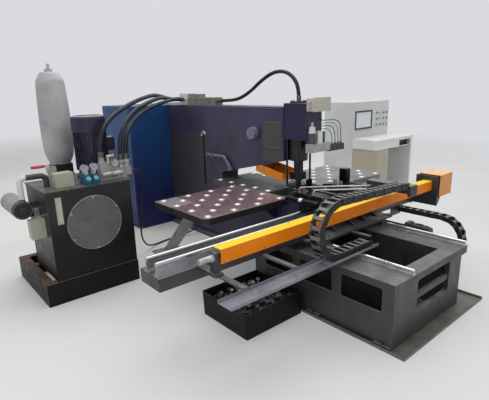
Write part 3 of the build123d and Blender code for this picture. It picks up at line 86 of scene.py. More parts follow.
class Surface:
    """A procedural material that is built up from patterns in object space."""

    def __init__(self, name):
        self.material = bpy.data.materials.new(name)
        self.material.use_nodes = True
        self.tree = self.material.node_tree
        self.shader = self.tree.nodes["Principled BSDF"]
        self.place = self.add("ShaderNodeTexCoord").outputs["Object"]
        self.geometry = self.add("ShaderNodeNewGeometry")

    def add(self, kind, inputs=None, **settings):
        made = self.tree.nodes.new(kind)
        for key, value in settings.items():
            setattr(made, key, value)
        for key, value in (inputs or {}).items():
            if isinstance(value, bpy.types.NodeSocket):
                self.tree.links.new(value, made.inputs[key])
            else:
                made.inputs[key].default_value = value
        return made

    def math(self, operation, first, second=0.0, clamp=False):
        return self.add("ShaderNodeMath", {0: first, 1: second}, operation=operation, use_clamp=clamp).outputs[0]

    def noise(self, scale, detail=4.0, stretch=None, distortion=0.0):
        place = self.place
        if stretch:
            place = self.add("ShaderNodeMapping", {"Vector": place, "Scale": stretch}).outputs[0]
        inputs = {"Vector": place, "Scale": scale, "Detail": detail, "Distortion": distortion}
        return self.add("ShaderNodeTexNoise", inputs).outputs[0]

    def between(self, value, low, high, out_low=0.0, out_high=1.0):
        inputs = {0: value, 1: low, 2: high, 3: out_low, 4: out_high}
        return self.add("ShaderNodeMapRange", inputs).outputs[0]

    def mix(self, share, first, second):
        made = self.add("ShaderNodeMix", {0: share}, data_type="RGBA")
        for index, value in ((6, first), (7, second)):
            if isinstance(value, bpy.types.NodeSocket):
                self.tree.links.new(value, made.inputs[index])
            else:
                made.inputs[index].default_value = value
        return made.outputs[2]

    def zone(self, low, high):
        """1 inside the box between two corners, given in millimetres, and 0 outside it."""
        middle = [(a + b) / 2000 for a, b in zip(low, high)]
        half = [(b - a) / 2000 for a, b in zip(low, high)]
        offset = self.add("ShaderNodeVectorMath", {0: self.place, 1: middle}, operation="SUBTRACT").outputs[0]
        size = self.add("ShaderNodeVectorMath", {0: offset}, operation="ABSOLUTE").outputs[0]
        beyond = self.add("ShaderNodeVectorMath", {0: size, 1: half}, operation="SUBTRACT").outputs[0]
        parts = self.add("ShaderNodeSeparateXYZ", {0: beyond}).outputs
        furthest = self.math("MAXIMUM", self.math("MAXIMUM", parts[0], parts[1]), parts[2])
        return self.math("LESS_THAN", furthest, 0.0)

    def edges(self, radius):
        """1 on convex and concave edges, fading over the radius."""
        rounded = self.add("ShaderNodeBevel", {"Radius": radius}, samples=4).outputs[0]
        inputs = {0: rounded, 1: self.geometry.outputs["Normal"]}
        alike = self.add("ShaderNodeVectorMath", inputs, operation="DOT_PRODUCT").outputs["Value"]
        return self.between(alike, 0.98, 0.8)


DUST = linear(150, 142, 130)
STEEL = linear(150, 150, 148)


def finish_surface(
    name, main, other, rough=(0.35, 0.6), metal=0.0, coat=0.0, patch=3.0, grain=90.0, bump=0.12,
    wear_and_edge_highlight=0.0, bare_and_lit_edge=STEEL, dust=0.0, dust_colour=DUST, stretch=None, zones=(), grime=0.35, contrast=(0.35, 0.65),
    lit_top_colour=None, shaded_foot=None, shine=0.5,
):
    """Paint, metal, rubber or plastic: two tones in patches, fine grain, grime, dust on top and worn edges, which on
    some materials also serve as a painted highlight along the edges.

    The colour for faces that look up is a painted highlight, as if lit from above; the foot colour, with the heights
    that it fades in between, is painted shade that darkens towards the bottom.
    """
    surface = Surface(name)
    patches = surface.between(surface.noise(patch, 5.0, stretch, 0.6), *contrast)
    colour = surface.mix(patches, linear(*main), linear(*other))
    # Painted shade: darker towards the bottom, between the two heights
    if shaded_foot:
        height = surface.add("ShaderNodeSeparateXYZ", {0: surface.place}).outputs[2]
        uneven = surface.math("ADD", height, surface.between(surface.noise(patch * 2), 0.3, 0.7, -0.12, 0.12))
        colour = surface.mix(surface.between(uneven, shaded_foot[1], shaded_foot[2]), colour, linear(*shaded_foot[0]))
    # Painted highlight: faces that look up turn to a lighter colour, as if lit from above
    if lit_top_colour:
        rising = surface.add("ShaderNodeSeparateXYZ", {0: surface.geometry.outputs["Normal"]}).outputs[2]
        colour = surface.mix(surface.between(rising, 0.35, 0.85), colour, linear(*lit_top_colour))
    for low, high, zone_colour in zones:
        colour = surface.mix(surface.zone(low, high), colour, linear(*zone_colour))
    speckle = surface.between(surface.noise(grain, 3.0, stretch), 0.5, 0.8, 0.0, grime)
    darker = surface.add("ShaderNodeHueSaturation", {"Value": 0.45, "Color": colour}).outputs[0]
    colour = surface.mix(speckle, colour, darker)
    stains = surface.between(surface.noise(patch * 2.3, 8.0, None, 1.2), 0.55, 0.72, 0.0, grime)
    colour = surface.mix(stains, colour, darker)
    rough_value = surface.between(surface.noise(patch * 6, 6.0), 0.3, 0.7, *rough)
    metal_value = metal
    if dust:
        facing = surface.add("ShaderNodeSeparateXYZ", {0: surface.geometry.outputs["Normal"]}).outputs[2]
        settled = surface.between(facing, 0.5, 0.98, 0.0, dust)
        settled = surface.math("MULTIPLY", settled, surface.between(surface.noise(patch * 4, 6.0), 0.3, 0.7, 0.35, 1.0))
        colour = surface.mix(settled, colour, dust_colour)
        rough_value = surface.math("ADD", rough_value, surface.math("MULTIPLY", settled, 0.3), True)
    # Worn edges: real wear, and on some materials a painted highlight along the edges
    if wear_and_edge_highlight:
        edge_breakup = surface.between(surface.noise(35.0, 6.0), 0.42, 0.6, 0.0, wear_and_edge_highlight)
        worn_and_lit_edges = surface.math("MULTIPLY", surface.edges(0.007), edge_breakup, True)
        colour = surface.mix(worn_and_lit_edges, colour, bare_and_lit_edge)
        metal_value = surface.math("MAXIMUM", worn_and_lit_edges, metal) if metal < 0.5 else metal
    height = surface.noise(grain * 2.5, 2.0, stretch)
    relief = surface.add("ShaderNodeBump", {"Strength": bump, "Distance": 0.002, "Height": height}).outputs[0]
    shader = surface.shader.inputs
    surface.tree.links.new(colour, shader["Base Color"])
    surface.tree.links.new(rough_value, shader["Roughness"])
    surface.tree.links.new(relief, shader["Normal"])
    if isinstance(metal_value, bpy.types.NodeSocket):
        surface.tree.links.new(metal_value, shader["Metallic"])
    else:
        shader["Metallic"].default_value = metal_value
    shader["Specular IOR Level"].default_value = shine
    shader["Coat Weight"].default_value = coat
    shader["Coat Roughness"].default_value = 0.25
    return surface.material


frame_paint = finish_surface(
    "frame_paint", (62, 54, 86), (49, 44, 64), (0.3, 0.5), coat=0.1, patch=1.3, wear_and_edge_highlight=0.5, dust=0.35, grime=0.3, shine=0.35,
    zones=[((-130, 92, 1040), (130, 380, 1430), (70, 69, 69)), ((-130, 1300, 400), (130, 2170, 1240), (56, 52, 56)),
           # Painted highlight: the two zones on the next line lighten the faces of the lifting pins
           ((-190, 420, 1228), (-128.5, 572, 1374), (118, 110, 138)), ((128.5, 420, 1228), (190, 572, 1374), (118, 110, 138))])
pipe_paint = finish_surface(
    "pipe_paint", (98, 92, 116), (78, 73, 92), (0.25, 0.45), coat=0.3, patch=6.0, wear_and_edge_highlight=0.6, dust=0.2, grime=0.3,
    zones=[((-180, 1380, 600), (-118, 1440, 1215), (52, 47, 66)), ((-180, 1325, 1215), (-118, 1440, 1300), (158, 156, 164))])
head_paint = finish_surface(
    "head_paint", (44, 38, 74), (34, 30, 55), (0.3, 0.5), coat=0.1, patch=3.0, wear_and_edge_highlight=0.5, dust=0.35, shine=0.35)
# Painted shade: the housing darkens towards its foot
blue_paint = finish_surface(
    "blue_paint", (22, 70, 120), (18, 56, 104), (0.38, 0.58), coat=0.05, patch=1.1, wear_and_edge_highlight=0.4, dust=0.2, grime=0.25,
    shine=0.3,
    shaded_foot=((27, 34, 84), 1.15, 0.45))
dark_paint = finish_surface(
    "dark_paint", (56, 56, 57), (42, 42, 43), (0.35, 0.6), coat=0.1, patch=2.2, wear_and_edge_highlight=0.7, dust=0.4)
black_paint = finish_surface(
    "black_paint", (32, 32, 34), (24, 24, 26), (0.25, 0.5), coat=0.05, patch=6.0, wear_and_edge_highlight=0.6, dust=0.12, shine=0.3)
bed_paint = finish_surface(
    "bed_paint", (60, 60, 60), (46, 46, 47), (0.35, 0.6), coat=0.1, patch=2.4, wear_and_edge_highlight=0.8, dust=0.75,
    dust_colour=linear(134, 134, 132))
# Painted shade: the tank darkens towards its foot; its worn edges also stand for a painted highlight along the top edge
tank_paint = finish_surface(
    "tank_paint", (46, 47, 48), (38, 39, 40), (0.3, 0.5), coat=0.04, patch=2.0, wear_and_edge_highlight=0.8, dust=0.35, shine=0.25,
    shaded_foot=((13, 13, 14), 0.8, 0.4),
    zones=[((-2040, 780, 690), (-1990, 806, 920), (178, 176, 160)), ((-2230, 915, 560), (-2105.5, 1025, 745), (158, 160, 140)),
           ((-1990, 890, 976), (-1828, 1030, 1100), (166, 165, 146))])
cover_paint = finish_surface(
    "cover_paint", (96, 97, 98), (82, 83, 85), (0.35, 0.55), coat=0.1, patch=5.0, wear_and_edge_highlight=0.8, dust=0.3)
bottle_paint = finish_surface(
    "bottle_paint", (170, 171, 170), (150, 151, 151), (0.45, 0.7), patch=4.0, grain=60.0, wear_and_edge_highlight=0.3, grime=0.2)
# Painted highlight: faces that look up are lighter
motor_paint = finish_surface(
    "motor_paint", (42, 32, 66), (31, 26, 47), (0.35, 0.6), coat=0.06, patch=5.0, wear_and_edge_highlight=0.5, dust=0.2, shine=0.35,
    lit_top_colour=(142, 132, 152))
side_motor_paint = finish_surface(
    "side_motor_paint", (150, 152, 152), (122, 124, 126), (0.4, 0.65), patch=6.0, wear_and_edge_highlight=0.4, dust=0.2,
    zones=[((-2330, 1000, 730), (-2150, 1062, 905), (38, 38, 40)), ((-2175, 1030, 970), (-1980, 1090, 1110), (54, 54, 57)),
           ((-2270, 1030, 900), (-2175, 1090, 1110), (196, 197, 198))])
# Painted highlight: faces that look up turn yellow, as if lit from above
orange_paint = finish_surface(
    "orange_paint", (230, 128, 6), (222, 119, 5), (0.35, 0.55), coat=0.04, patch=2.0, wear_and_edge_highlight=0.5, dust=0.03, shine=0.18,
    bare_and_lit_edge=linear(90, 70, 50), grime=0.1, lit_top_colour=(255, 198, 36))
# Painted highlight: faces that look up are lighter
cover_orange = finish_surface(
    "cover_orange", (212, 136, 42), (202, 126, 36), (0.3, 0.5), coat=0.3, patch=3.0, wear_and_edge_highlight=0.5, dust=0.1,
    bare_and_lit_edge=linear(90, 70, 50), grime=0.14, lit_top_colour=(236, 176, 98))
guard_orange = finish_surface(
    "guard_orange", (226, 136, 32), (214, 124, 26), (0.3, 0.5), coat=0.1, patch=3.0, wear_and_edge_highlight=0.5, dust=0.1, shine=0.3,
    bare_and_lit_edge=linear(90, 70, 50), grime=0.2)
rusty_base = finish_surface(
    "rusty_base", (24, 24, 25), (18, 18, 19), (0.35, 0.6), patch=2.5, wear_and_edge_highlight=0.5, dust=0.9, shine=0.15,
    dust_colour=linear(112, 88, 74), grime=0.4)
table_sheet = finish_surface(
    "table_sheet", (104, 76, 80), (132, 106, 106), (0.24, 0.5), metal=0.3, coat=0.3, patch=2.6, grain=45.0,
    wear_and_edge_highlight=0.8, grime=0.5, contrast=(0.3, 0.7),
    # Painted shade: the second zone on the next line darkens the table's skirt under its top
    zones=[((-1240, 340, 700), (-1010, 660, 790), (138, 130, 130)), ((-2000, -160, 700), (2000, 700, 763.4), (44, 41, 43))])
right_sheet = finish_surface(
    "right_sheet", (112, 112, 113), (136, 134, 133), (0.4, 0.65), metal=0.2, patch=3.0, grain=45.0, wear_and_edge_highlight=0.8, grime=0.4)
throat_sheet = finish_surface(
    "throat_sheet", (58, 64, 62), (80, 84, 79), (0.35, 0.6), metal=0.25, patch=4.0, grain=45.0, wear_and_edge_highlight=0.7, grime=0.5)
brace_paint = finish_surface(
    "brace_paint", (140, 140, 142), (120, 120, 122), (0.35, 0.6), metal=0.2, patch=5.0, wear_and_edge_highlight=0.6, dust=0.3)
cast_alloy = finish_surface(
    "cast_alloy", (164, 165, 167), (136, 137, 140), (0.3, 0.5), metal=0.7, patch=9.0, grain=120.0, wear_and_edge_highlight=0.4, grime=0.45)
rail_alloy = finish_surface(
    "rail_alloy", (188, 189, 190), (160, 161, 163), (0.25, 0.45), metal=0.7, patch=9.0, grain=120.0, wear_and_edge_highlight=0.4, grime=0.3)
bright_steel = finish_surface(
    "bright_steel", (206, 207, 208), (180, 182, 184), (0.12, 0.28), metal=1.0, patch=8.0, grain=200.0, bump=0.03,
    grime=0.25, stretch=(0.05, 1.0, 1.0))
rod_steel = finish_surface(
    "rod_steel", (216, 217, 218), (192, 194, 196), (0.14, 0.3), metal=0.9, patch=8.0, grain=200.0, bump=0.03,
    grime=0.2, stretch=(1.0, 0.05, 1.0))
pipework = finish_surface(
    "pipework", (200, 201, 202), (172, 174, 176), (0.16, 0.32), metal=0.85, patch=8.0, grain=160.0, bump=0.05,
    grime=0.3, zones=[
        ((-440, -600, 765), (-340.5, -230, 835), (30, 30, 31)), ((-436, -420, 800), (-364, -385, 835), (214, 214, 212)),
        ((-215, -300, 850.5), (-135, -270, 950), (32, 32, 33)), ((265, -365, 850.5), (340, -270, 985), (30, 30, 31))])
dark_steel = finish_surface(
    "dark_steel", (66, 66, 68), (46, 46, 48), (0.25, 0.5), metal=0.75, patch=8.0, grain=120.0, wear_and_edge_highlight=0.8, grime=0.5)
oily_steel = finish_surface(
    "oily_steel", (44, 44, 45), (30, 30, 31), (0.2, 0.45), metal=0.5, coat=0.1, patch=9.0, grain=120.0, wear_and_edge_highlight=0.9, grime=0.5,
    shine=0.4)
chrome = finish_surface(
    "chrome", (236, 236, 238), (214, 216, 218), (0.06, 0.18), metal=1.0, patch=30.0, grain=300.0, bump=0.02, grime=0.2)
# Partly the ball units' own bright metal, partly a painted highlight: the cups are whitened to stand for their glare
ball_metal_with_glare = finish_surface(
    "ball_metal_with_glare", (244, 244, 246), (228, 229, 232), (0.14, 0.3), metal=0.35, coat=0.5, patch=30.0, grain=300.0,
    bump=0.02, grime=0.12)
# The light colour of the worn edges is a painted highlight along the edges of the plastic
plastic = finish_surface(
    "plastic", (36, 36, 37), (28, 28, 29), (0.35, 0.55), patch=7.0, grain=160.0, wear_and_edge_highlight=0.9, dust=0.12, shine=0.3,
    dust_colour=linear(120, 118, 114), bare_and_lit_edge=linear(112, 112, 110))
# Painted highlight: the chains' cross bars are black plastic, given a light grey as if lit from above
lit_bar_plastic = finish_surface(
    "lit_bar_plastic", (112, 112, 113), (90, 90, 91), (0.35, 0.55), patch=7.0, grain=160.0, wear_and_edge_highlight=0.9, dust=0.2,
    dust_colour=linear(120, 118, 114), bare_and_lit_edge=linear(112, 112, 110))
rubber = finish_surface(
    "rubber", (29, 36, 40), (21, 26, 29), (0.35, 0.55), patch=5.0, grain=220.0, bump=0.2, dust=0.08, shine=0.3)
trough_paint = finish_surface(
    "trough_paint", (150, 148, 158), (130, 128, 138), (0.3, 0.5), metal=0.4, patch=3.0, wear_and_edge_highlight=0.5, grime=0.45)
arm_sheet = finish_surface(
    "arm_sheet", (54, 56, 57), (42, 44, 45), (0.35, 0.6), metal=0.2, patch=6.0, wear_and_edge_highlight=0.6, grime=0.35, dust=0.3,
    lit_top_colour=(104, 106, 107))
console_paint = finish_surface(
    "console_paint", (200, 200, 196), (190, 191, 187), (0.4, 0.6), patch=2.0, grain=180.0, wear_and_edge_highlight=0.2, grime=0.12,
    zones=[((2634, 1200, 1059), (3091, 1224, 1351), (44, 45, 46)), ((2662, 1219, 1085), (3063, 1226, 1325), (206, 212, 214))])
desk_paint = finish_surface(
    "desk_paint", (216, 216, 214), (204, 205, 203), (0.35, 0.55), patch=2.4, grain=180.0, wear_and_edge_highlight=0.3, grime=0.12,
    zones=[((2606, 790, -5), (2954, 1240, 779), (168, 161, 141)), ((3252, 812, 790), (3588, 880, 876), (26, 27, 28))])
box_paint = finish_surface(
    "box_paint", (186, 182, 172), (172, 169, 160), (0.4, 0.6), patch=5.0, grain=150.0, wear_and_edge_highlight=0.3, grime=0.2, dust=0.3)
air_metal = finish_surface(
    "air_metal", (172, 172, 168), (152, 152, 149), (0.3, 0.5), metal=0.25, patch=12.0, grain=150.0, wear_and_edge_highlight=0.3, grime=0.3,
    zones=[((145, -260, 1145), (380, -195, 1230), (48, 52, 56)), ((-24, -260, 1244.5), (42, -190, 1360), (214, 214, 210)),
           ((44, -255, 1244.5), (84, -190, 1350), (56, 58, 60)), ((-120, -275, 1244.5), (-38, -190, 1340), (74, 76, 78)),
           ((-120, -275, 1340), (-38, -190, 1400), (206, 207, 206)), ((-70, -205, 1160), (70, -185, 1340), (44, 42, 56))])
valve_metal = finish_surface(
    "valve_metal", (170, 170, 164), (148, 148, 144), (0.3, 0.5), metal=0.4, patch=9.0, grain=120.0, wear_and_edge_highlight=0.4, grime=0.4,
    zones=[((-1770, 820, 974), (-1640, 962, 1064), (26, 92, 114)), ((-1800, 860, 1070), (-1400, 893, 1170), (132, 130, 140))])
block_metal = finish_surface(
    "block_metal", (134, 131, 120), (112, 110, 101), (0.3, 0.5), metal=0.3, patch=7.0, grain=120.0, wear_and_edge_highlight=0.4, grime=0.4,
    zones=[((-100, 1785, 1560), (80, 1960, 1710), (208, 208, 204))])
fitting_white = finish_surface(
    "fitting_white", (188, 187, 182), (160, 160, 157), (0.25, 0.45), metal=0.35, patch=20.0, grain=200.0, wear_and_edge_highlight=0.4,
    grime=0.4)
ferrule_metal = finish_surface(
    "ferrule_metal", (104, 106, 108), (84, 86, 88), (0.25, 0.45), metal=0.7, patch=20.0, grain=200.0, wear_and_edge_highlight=0.5, grime=0.3)
bronze = finish_surface(
    "bronze", (136, 108, 84), (108, 84, 66), (0.25, 0.45), metal=0.7, patch=20.0, grain=200.0, wear_and_edge_highlight=0.4, grime=0.3)
red_paint = finish_surface(
    "red_paint", (182, 62, 78), (158, 44, 60), (0.3, 0.5), coat=0.3, patch=14.0, wear_and_edge_highlight=0.8, grime=0.3)
tray_sheet = finish_surface(
    "tray_sheet", (118, 116, 112), (88, 86, 84), (0.3, 0.6), metal=0.5, patch=2.4, grain=40.0, wear_and_edge_highlight=0.6, grime=0.6,
    dust=0.4)
bin_sheet = finish_surface(
    "bin_sheet", (24, 24, 25), (18, 18, 19), (0.35, 0.6), patch=4.0, wear_and_edge_highlight=0.5, grime=0.4, dust=0.15, shine=0.15)
slug_metal = finish_surface(
    "slug_metal", (112, 110, 108), (70, 69, 68), (0.25, 0.5), metal=0.8, patch=22.0, grain=160.0, wear_and_edge_highlight=0.6, grime=0.5)
teal_tube = finish_surface(
    "teal_tube", (60, 150, 160), (48, 128, 140), (0.2, 0.35), coat=0.4, patch=20.0, grain=200.0, bump=0.05, grime=0.15)
dark_tube = finish_surface(
    "dark_tube", (52, 66, 72), (42, 54, 60), (0.25, 0.4), coat=0.3, patch=20.0, grain=200.0, bump=0.05, grime=0.15)
green_button = finish_surface(
    "green_button", (60, 200, 150), (50, 180, 132), (0.25, 0.4), coat=0.4, patch=20.0, grain=200.0, grime=0.1)
red_button = finish_surface(
    "red_button", (190, 40, 40), (165, 34, 34), (0.25, 0.4), coat=0.4, patch=20.0, grain=200.0, grime=0.1)
dial_face = finish_surface(
    "dial_face", (172, 168, 182), (158, 154, 168), (0.3, 0.45), patch=14.0, grain=200.0, bump=0.03, grime=0.1)
coil_face = finish_surface(
    "coil_face", (132, 186, 208), (112, 166, 190), (0.25, 0.4), coat=0.3, patch=20.0, grain=200.0, grime=0.12)


def dress(material, *names):
    for name in names:
        for place in nodes[name].material_slots:
            place.material = material


dress(frame_paint, "c_frame")
dress(pipe_paint, "side_pipes")
dress(head_paint, "head_block")
dress(blue_paint, "rear_housing")
dress(dark_paint, "x_beam", "x_drive_mounts", "carriage_plate")
dress(black_paint, "y_motor")
dress(bed_paint, "bed", "saddle")
dress(tank_paint, "tank")
dress(cover_paint, "tank_cover")
dress(bottle_paint, "accumulator")
dress(motor_paint, "pump_motor")
dress(side_motor_paint, "side_motor")
dress(orange_paint, "x_guard")
dress(cover_orange, "x_drive_cover")
dress(guard_orange, "throat_guard")
dress(rusty_base, "unit_base")
dress(table_sheet, "ball_table_left")
dress(right_sheet, "ball_table_right")
dress(throat_sheet, "throat_table")
dress(brace_paint, "table_braces")
dress(cast_alloy, "x_rail_supports")
dress(rail_alloy, "y_rail_supports")
dress(bright_steel, "x_rails")
dress(rod_steel, "y_rails")
dress(dark_steel, "main_cylinder", "punch_ram", "stripper_frame", "die", "bed_bolts", "x_screw", "y_screw")
dress(oily_steel, "clamp_body_left", "clamp_body_right", "clamp_jaw_left", "clamp_jaw_right")
dress(pipework, "clamp_pipework")
dress(ball_metal_with_glare, "ball_units")
dress(trough_paint, "chain_trough")
dress(arm_sheet, "chain_arm")
dress(console_paint, "console_cabinet")
dress(desk_paint, "console_desk")
dress(box_paint, "junction_box")
dress(air_metal, "air_units")
dress(valve_metal, "manifold")
dress(block_metal, "top_valve_block")
dress(red_paint, "valve_lever")
dress(tray_sheet, "drip_tray")
dress(bin_sheet, "slug_bin")
dress(slug_metal, "slug_heap")
dress(rubber, "hose_a", "hose_b", "hose_c", "top_hose", "unit_cable", "air_tubes")
dress(plastic, "x_chain", "y_chain")


# Mesh helpers; sizes and places below are in millimetres
def metres(*point):
    return Vector(point) / 1000


def place_piece(mesh_builder, name, body, material, smooth=False):
    mesh = bpy.data.meshes.new(name)
    mesh_builder.to_mesh(mesh)
    mesh_builder.free()
    mesh.materials.append(material)
    for face in mesh.polygons:
        face.use_smooth = smooth
    if smooth:
        mesh.set_sharp_from_angle(angle=math.radians(32))
    piece = bpy.data.objects.new(name, mesh)
    bpy.context.scene.collection.objects.link(piece)
    if body:
        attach(piece, body)
    return piece


def add_block(mesh, low, high, rounding=2.0, segments=2):
    """Box between opposite corners with its edges rounded."""
    low, high = metres(*low), metres(*high)
    size = high - low
    matrix = Matrix.Translation((low + high) / 2) @ Matrix.Diagonal((*size, 1))
    made = bmesh.ops.create_cube(mesh, size=1, matrix=matrix)
    edges = {edge for vert in made["verts"] for edge in vert.link_edges}
    offset = min(rounding / 1000, min(size) * 0.45)
    if rounding:
        bmesh.ops.bevel(mesh, geom=list(edges), offset=offset, segments=segments, affect="EDGES", profile=0.5)


def aim(start, end):
    """Matrix that turns Z along the way from one point to another, at its middle."""
    way = end - start
    return Matrix.Translation((start + end) / 2) @ way.to_track_quat("Z", "Y").to_matrix().to_4x4()


def add_rod(mesh, start, end, radius, end_radius=None, segments=24):
    start, end = metres(*start), metres(*end)
    end_radius = radius if end_radius is None else end_radius
    bmesh.ops.create_cone(
        mesh, cap_ends=True, segments=segments, radius1=radius / 1000, radius2=end_radius / 1000,
        depth=(end - start).length, matrix=aim(start, end))


def add_turned(mesh, centre, profile, segments=56):
    """Body turned about an upright axis, from pairs of radius and height."""
    rings = []
    for radius, height in profile:
        ring = []
        for step in range(segments):
            angle = math.tau * step / segments
            point = (centre[0] + radius * math.cos(angle), centre[1] + radius * math.sin(angle), height)
            ring.append(mesh.verts.new(metres(*point)))
        rings.append(ring)
    for low, high in zip(rings, rings[1:]):
        for k in range(segments):
            mesh.faces.new((low[k - 1], low[k], high[k], high[k - 1]))
    mesh.faces.new(rings[0][::-1])
    mesh.faces.new(rings[-1])


def add_ring(mesh, centre, normal, radius, thickness, segments=48, around=8):
    """Round ring of bar about an axis."""
    normal = Vector(normal).normalized()
    side = normal.orthogonal().normalized()
    other = normal.cross(side)
    rings = []
    for step in range(segments):
        angle = math.tau * step / segments
        outward = math.cos(angle) * side + math.sin(angle) * other
        middle = Vector(centre) + radius * outward
        ring = []
        for k in range(around):
            turn = math.tau * k / around
            ring.append(mesh.verts.new((middle + thickness * (math.cos(turn) * outward + math.sin(turn) * normal)) / 1000))
        rings.append(ring)
    for step in range(segments):
        for k in range(around):
            mesh.faces.new((rings[step - 1][k - 1], rings[step][k - 1], rings[step][k], rings[step - 1][k]))


def add_screw(mesh, place, normal, radius, height, socket=True):
    """Screw with a washer: a socket head with its recess, or a hexagon head."""
    base = Vector(place)
    way = Vector(normal).normalized()
    washer = base + way * height * 0.25
    top = base + way * height
    add_rod(mesh, base, washer, radius * 1.35, segments=16)
    add_rod(mesh, washer, top, radius, radius * 0.93, segments=16 if socket else 6)
    if socket:
        add_rod(mesh, top - way * height * 0.1, top + way * height * 0.04, radius * 0.5, segments=6)


def screws(name, body, places, normal, radius, height, material=None, socket=True):
    mesh = bmesh.new()
    for place in places:
        add_screw(mesh, place, normal, radius, height, socket)
    return place_piece(mesh, name, body, material or dark_steel)


def add_bead(mesh, points, radius, step=6.0):
    """Weld bead along straight runs, with its ripples."""
    rings = []
    count = 0
    for start, end in zip(points, points[1:]):
        start, end = Vector(start), Vector(end)
        way = (end - start).normalized()
        side = way.orthogonal().normalized()
        other = way.cross(side)
        pieces = max(2, int((end - start).length / step))
        for index in range(pieces + 1):
            middle = start.lerp(end, index / pieces)
            swell = radius * (1.0 if count % 2 else 0.78)
            count += 1
            ring = [
                mesh.verts.new((middle + swell * (math.cos(a) * side + math.sin(a) * other)) / 1000)
                for a in (math.tau * k / 6 for k in range(6))
            ]
            if index:
                for k in range(6):
                    mesh.faces.new((rings[-1][k], rings[-1][k - 1], ring[k - 1], ring[k]))
            else:
                mesh.faces.new(ring)
            if index == pieces:
                mesh.faces.new(ring[::-1])
            rings.append(ring)


# Cords: pressure hoses, the cable of the power unit and the thin air tubes
def smooth_cord(name, points, radius, material, node, body="machine"):
    curve = bpy.data.curves.new(name, "CURVE")
    curve.dimensions = "3D"
    spline = curve.splines.new("NURBS")
    spline.points.add(len(points) - 1)
    for target, point in zip(spline.points, points):
        target.co = (*point, 1)
    spline.order_u = 3
    spline.use_endpoint_u = True
    curve.resolution_u = 12
    curve.bevel_depth = radius
    curve.bevel_resolution = 5
    curve.use_fill_caps = True
    curve.materials.append(material)
    cord = bpy.data.objects.new(name, curve)
    bpy.context.scene.collection.objects.link(cord)
    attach(cord, body)
    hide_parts(node)
    return cord


HOSE_A = [
    (-1.56, 0.945, 1.1802), (-1.56, 0.945, 1.3), (-1.506, 0.972, 1.428), (-1.385, 1.032, 1.53), (-1.18, 1.15, 1.61),
    (-0.91, 1.34, 1.672), (-0.62, 1.6, 1.7), (-0.39, 1.84, 1.678), (-0.216, 1.92, 1.635), (-0.096, 1.92, 1.635)]
HOSE_B = [
    (-1.375, 0.95, 1.1402), (-1.375, 0.95, 1.28), (-1.302, 1.003, 1.43), (-1.14, 1.116, 1.555),
    (-0.86, 1.31, 1.632), (-0.56, 1.57, 1.668), (-0.365, 1.795, 1.655), (-0.216, 1.87, 1.635), (-0.096, 1.87, 1.635)]
HOSE_C = [
    (-1.322, 0.95, 1.1402), (-1.322, 0.95, 1.272), (-1.265, 0.992, 1.392), (-1.15, 1.082, 1.48), (-0.96, 1.225, 1.552),
    (-0.7, 1.42, 1.6), (-0.47, 1.6, 1.622), (-0.35, 1.755, 1.628), (-0.216, 1.82, 1.635), (-0.096, 1.82, 1.635)]
TOP_HOSE = [
    (0, 1.2098, 1.615), (0, 1.09, 1.615), (0.01, 0.89, 1.63), (0.012, 0.7, 1.705), (0, 0.515, 1.812),
    (0, 0.345, 1.888), (0, 0.185, 1.895), (0, 0.06, 1.83), (0, 0, 1.72), (0, 0, 1.6162)]
UNIT_CABLE = [
    (-1.2948, 0.95, 1.03), (-1.238, 0.95, 1.03), (-1.188, 0.952, 1.002), (-1.158, 0.956, 0.948), (-1.152, 0.965, 0.875),
    (-1.16, 0.99, 0.76), (-1.166, 1.03, 0.6), (-1.168, 1.09, 0.42), (-1.12, 1.2, 0.25), (-1.0, 1.35, 0.09),
    (-0.84, 1.48, 0.012), (-0.64, 1.54, 0.012), (-0.44, 1.53, 0.014), (-0.3, 1.505, 0.05), (-0.195, 1.5, 0.09),
    (-0.1202, 1.5, 0.09)]
HOSE_RADIUS = 0.021
TOP_HOSE_RADIUS = 0.018
CABLE_RADIUS = 0.009
AIR_TUBE_RADIUS = 0.004
smooth_cord("hose_left", HOSE_A, HOSE_RADIUS, rubber, "hose_a")
smooth_cord("hose_middle", HOSE_B, HOSE_RADIUS, rubber, "hose_b")
smooth_cord("hose_right", HOSE_C, HOSE_RADIUS, rubber, "hose_c")
smooth_cord("hose_to_head", TOP_HOSE, TOP_HOSE_RADIUS, rubber, "top_hose")
smooth_cord("cable_of_unit", UNIT_CABLE, CABLE_RADIUS, rubber, "unit_cable")
for count, start_x in enumerate((0.217, 0.261, 0.305, 0.349)):
    rise = 1.336 + 0.026 * count
    loop = [
        (start_x, -0.227, 1.2242), (start_x, -0.227, rise - 0.05), (start_x - 0.01, -0.195, rise + 0.02),
        (0.172, -0.15, rise + 0.02), (0.1242, -0.15, rise + 0.02)]
    smooth_cord(
        f"air_tube_{count}", loop, AIR_TUBE_RADIUS, (teal_tube, dark_tube)[count % 2], "air_tubes")


# Crimped ends of the hoses
def add_hose_end(mesh, point, along, radius):
    """Ferrule with grooves and a hexagon, from the fitting outwards along the hose."""
    base = Vector(point) * 1000
    way = Vector(along).normalized()
    size = radius * 1000
    add_rod(mesh, base, base + way * 18, size * 1.25, segments=6)
    place = 18.0
    for length, factor in ((12, 1.28), (4, 1.14), (12, 1.28), (5, 1.1)):
        add_rod(mesh, base + way * place, base + way * (place + length), size * factor)
        place += length


for name, route, radius in (
    ("hose_left", HOSE_A, HOSE_RADIUS), ("hose_middle", HOSE_B, HOSE_RADIUS), ("hose_right", HOSE_C, HOSE_RADIUS),
    ("hose_to_head", TOP_HOSE, TOP_HOSE_RADIUS),
):
    ends = bmesh.new()
    add_hose_end(ends, route[0], Vector(route[1]) - Vector(route[0]), radius)
    add_hose_end(ends, route[-1], Vector(route[-2]) - Vector(route[-1]), radius)
    place_piece(ends, f"{name}_ends", "machine", ferrule_metal, True)


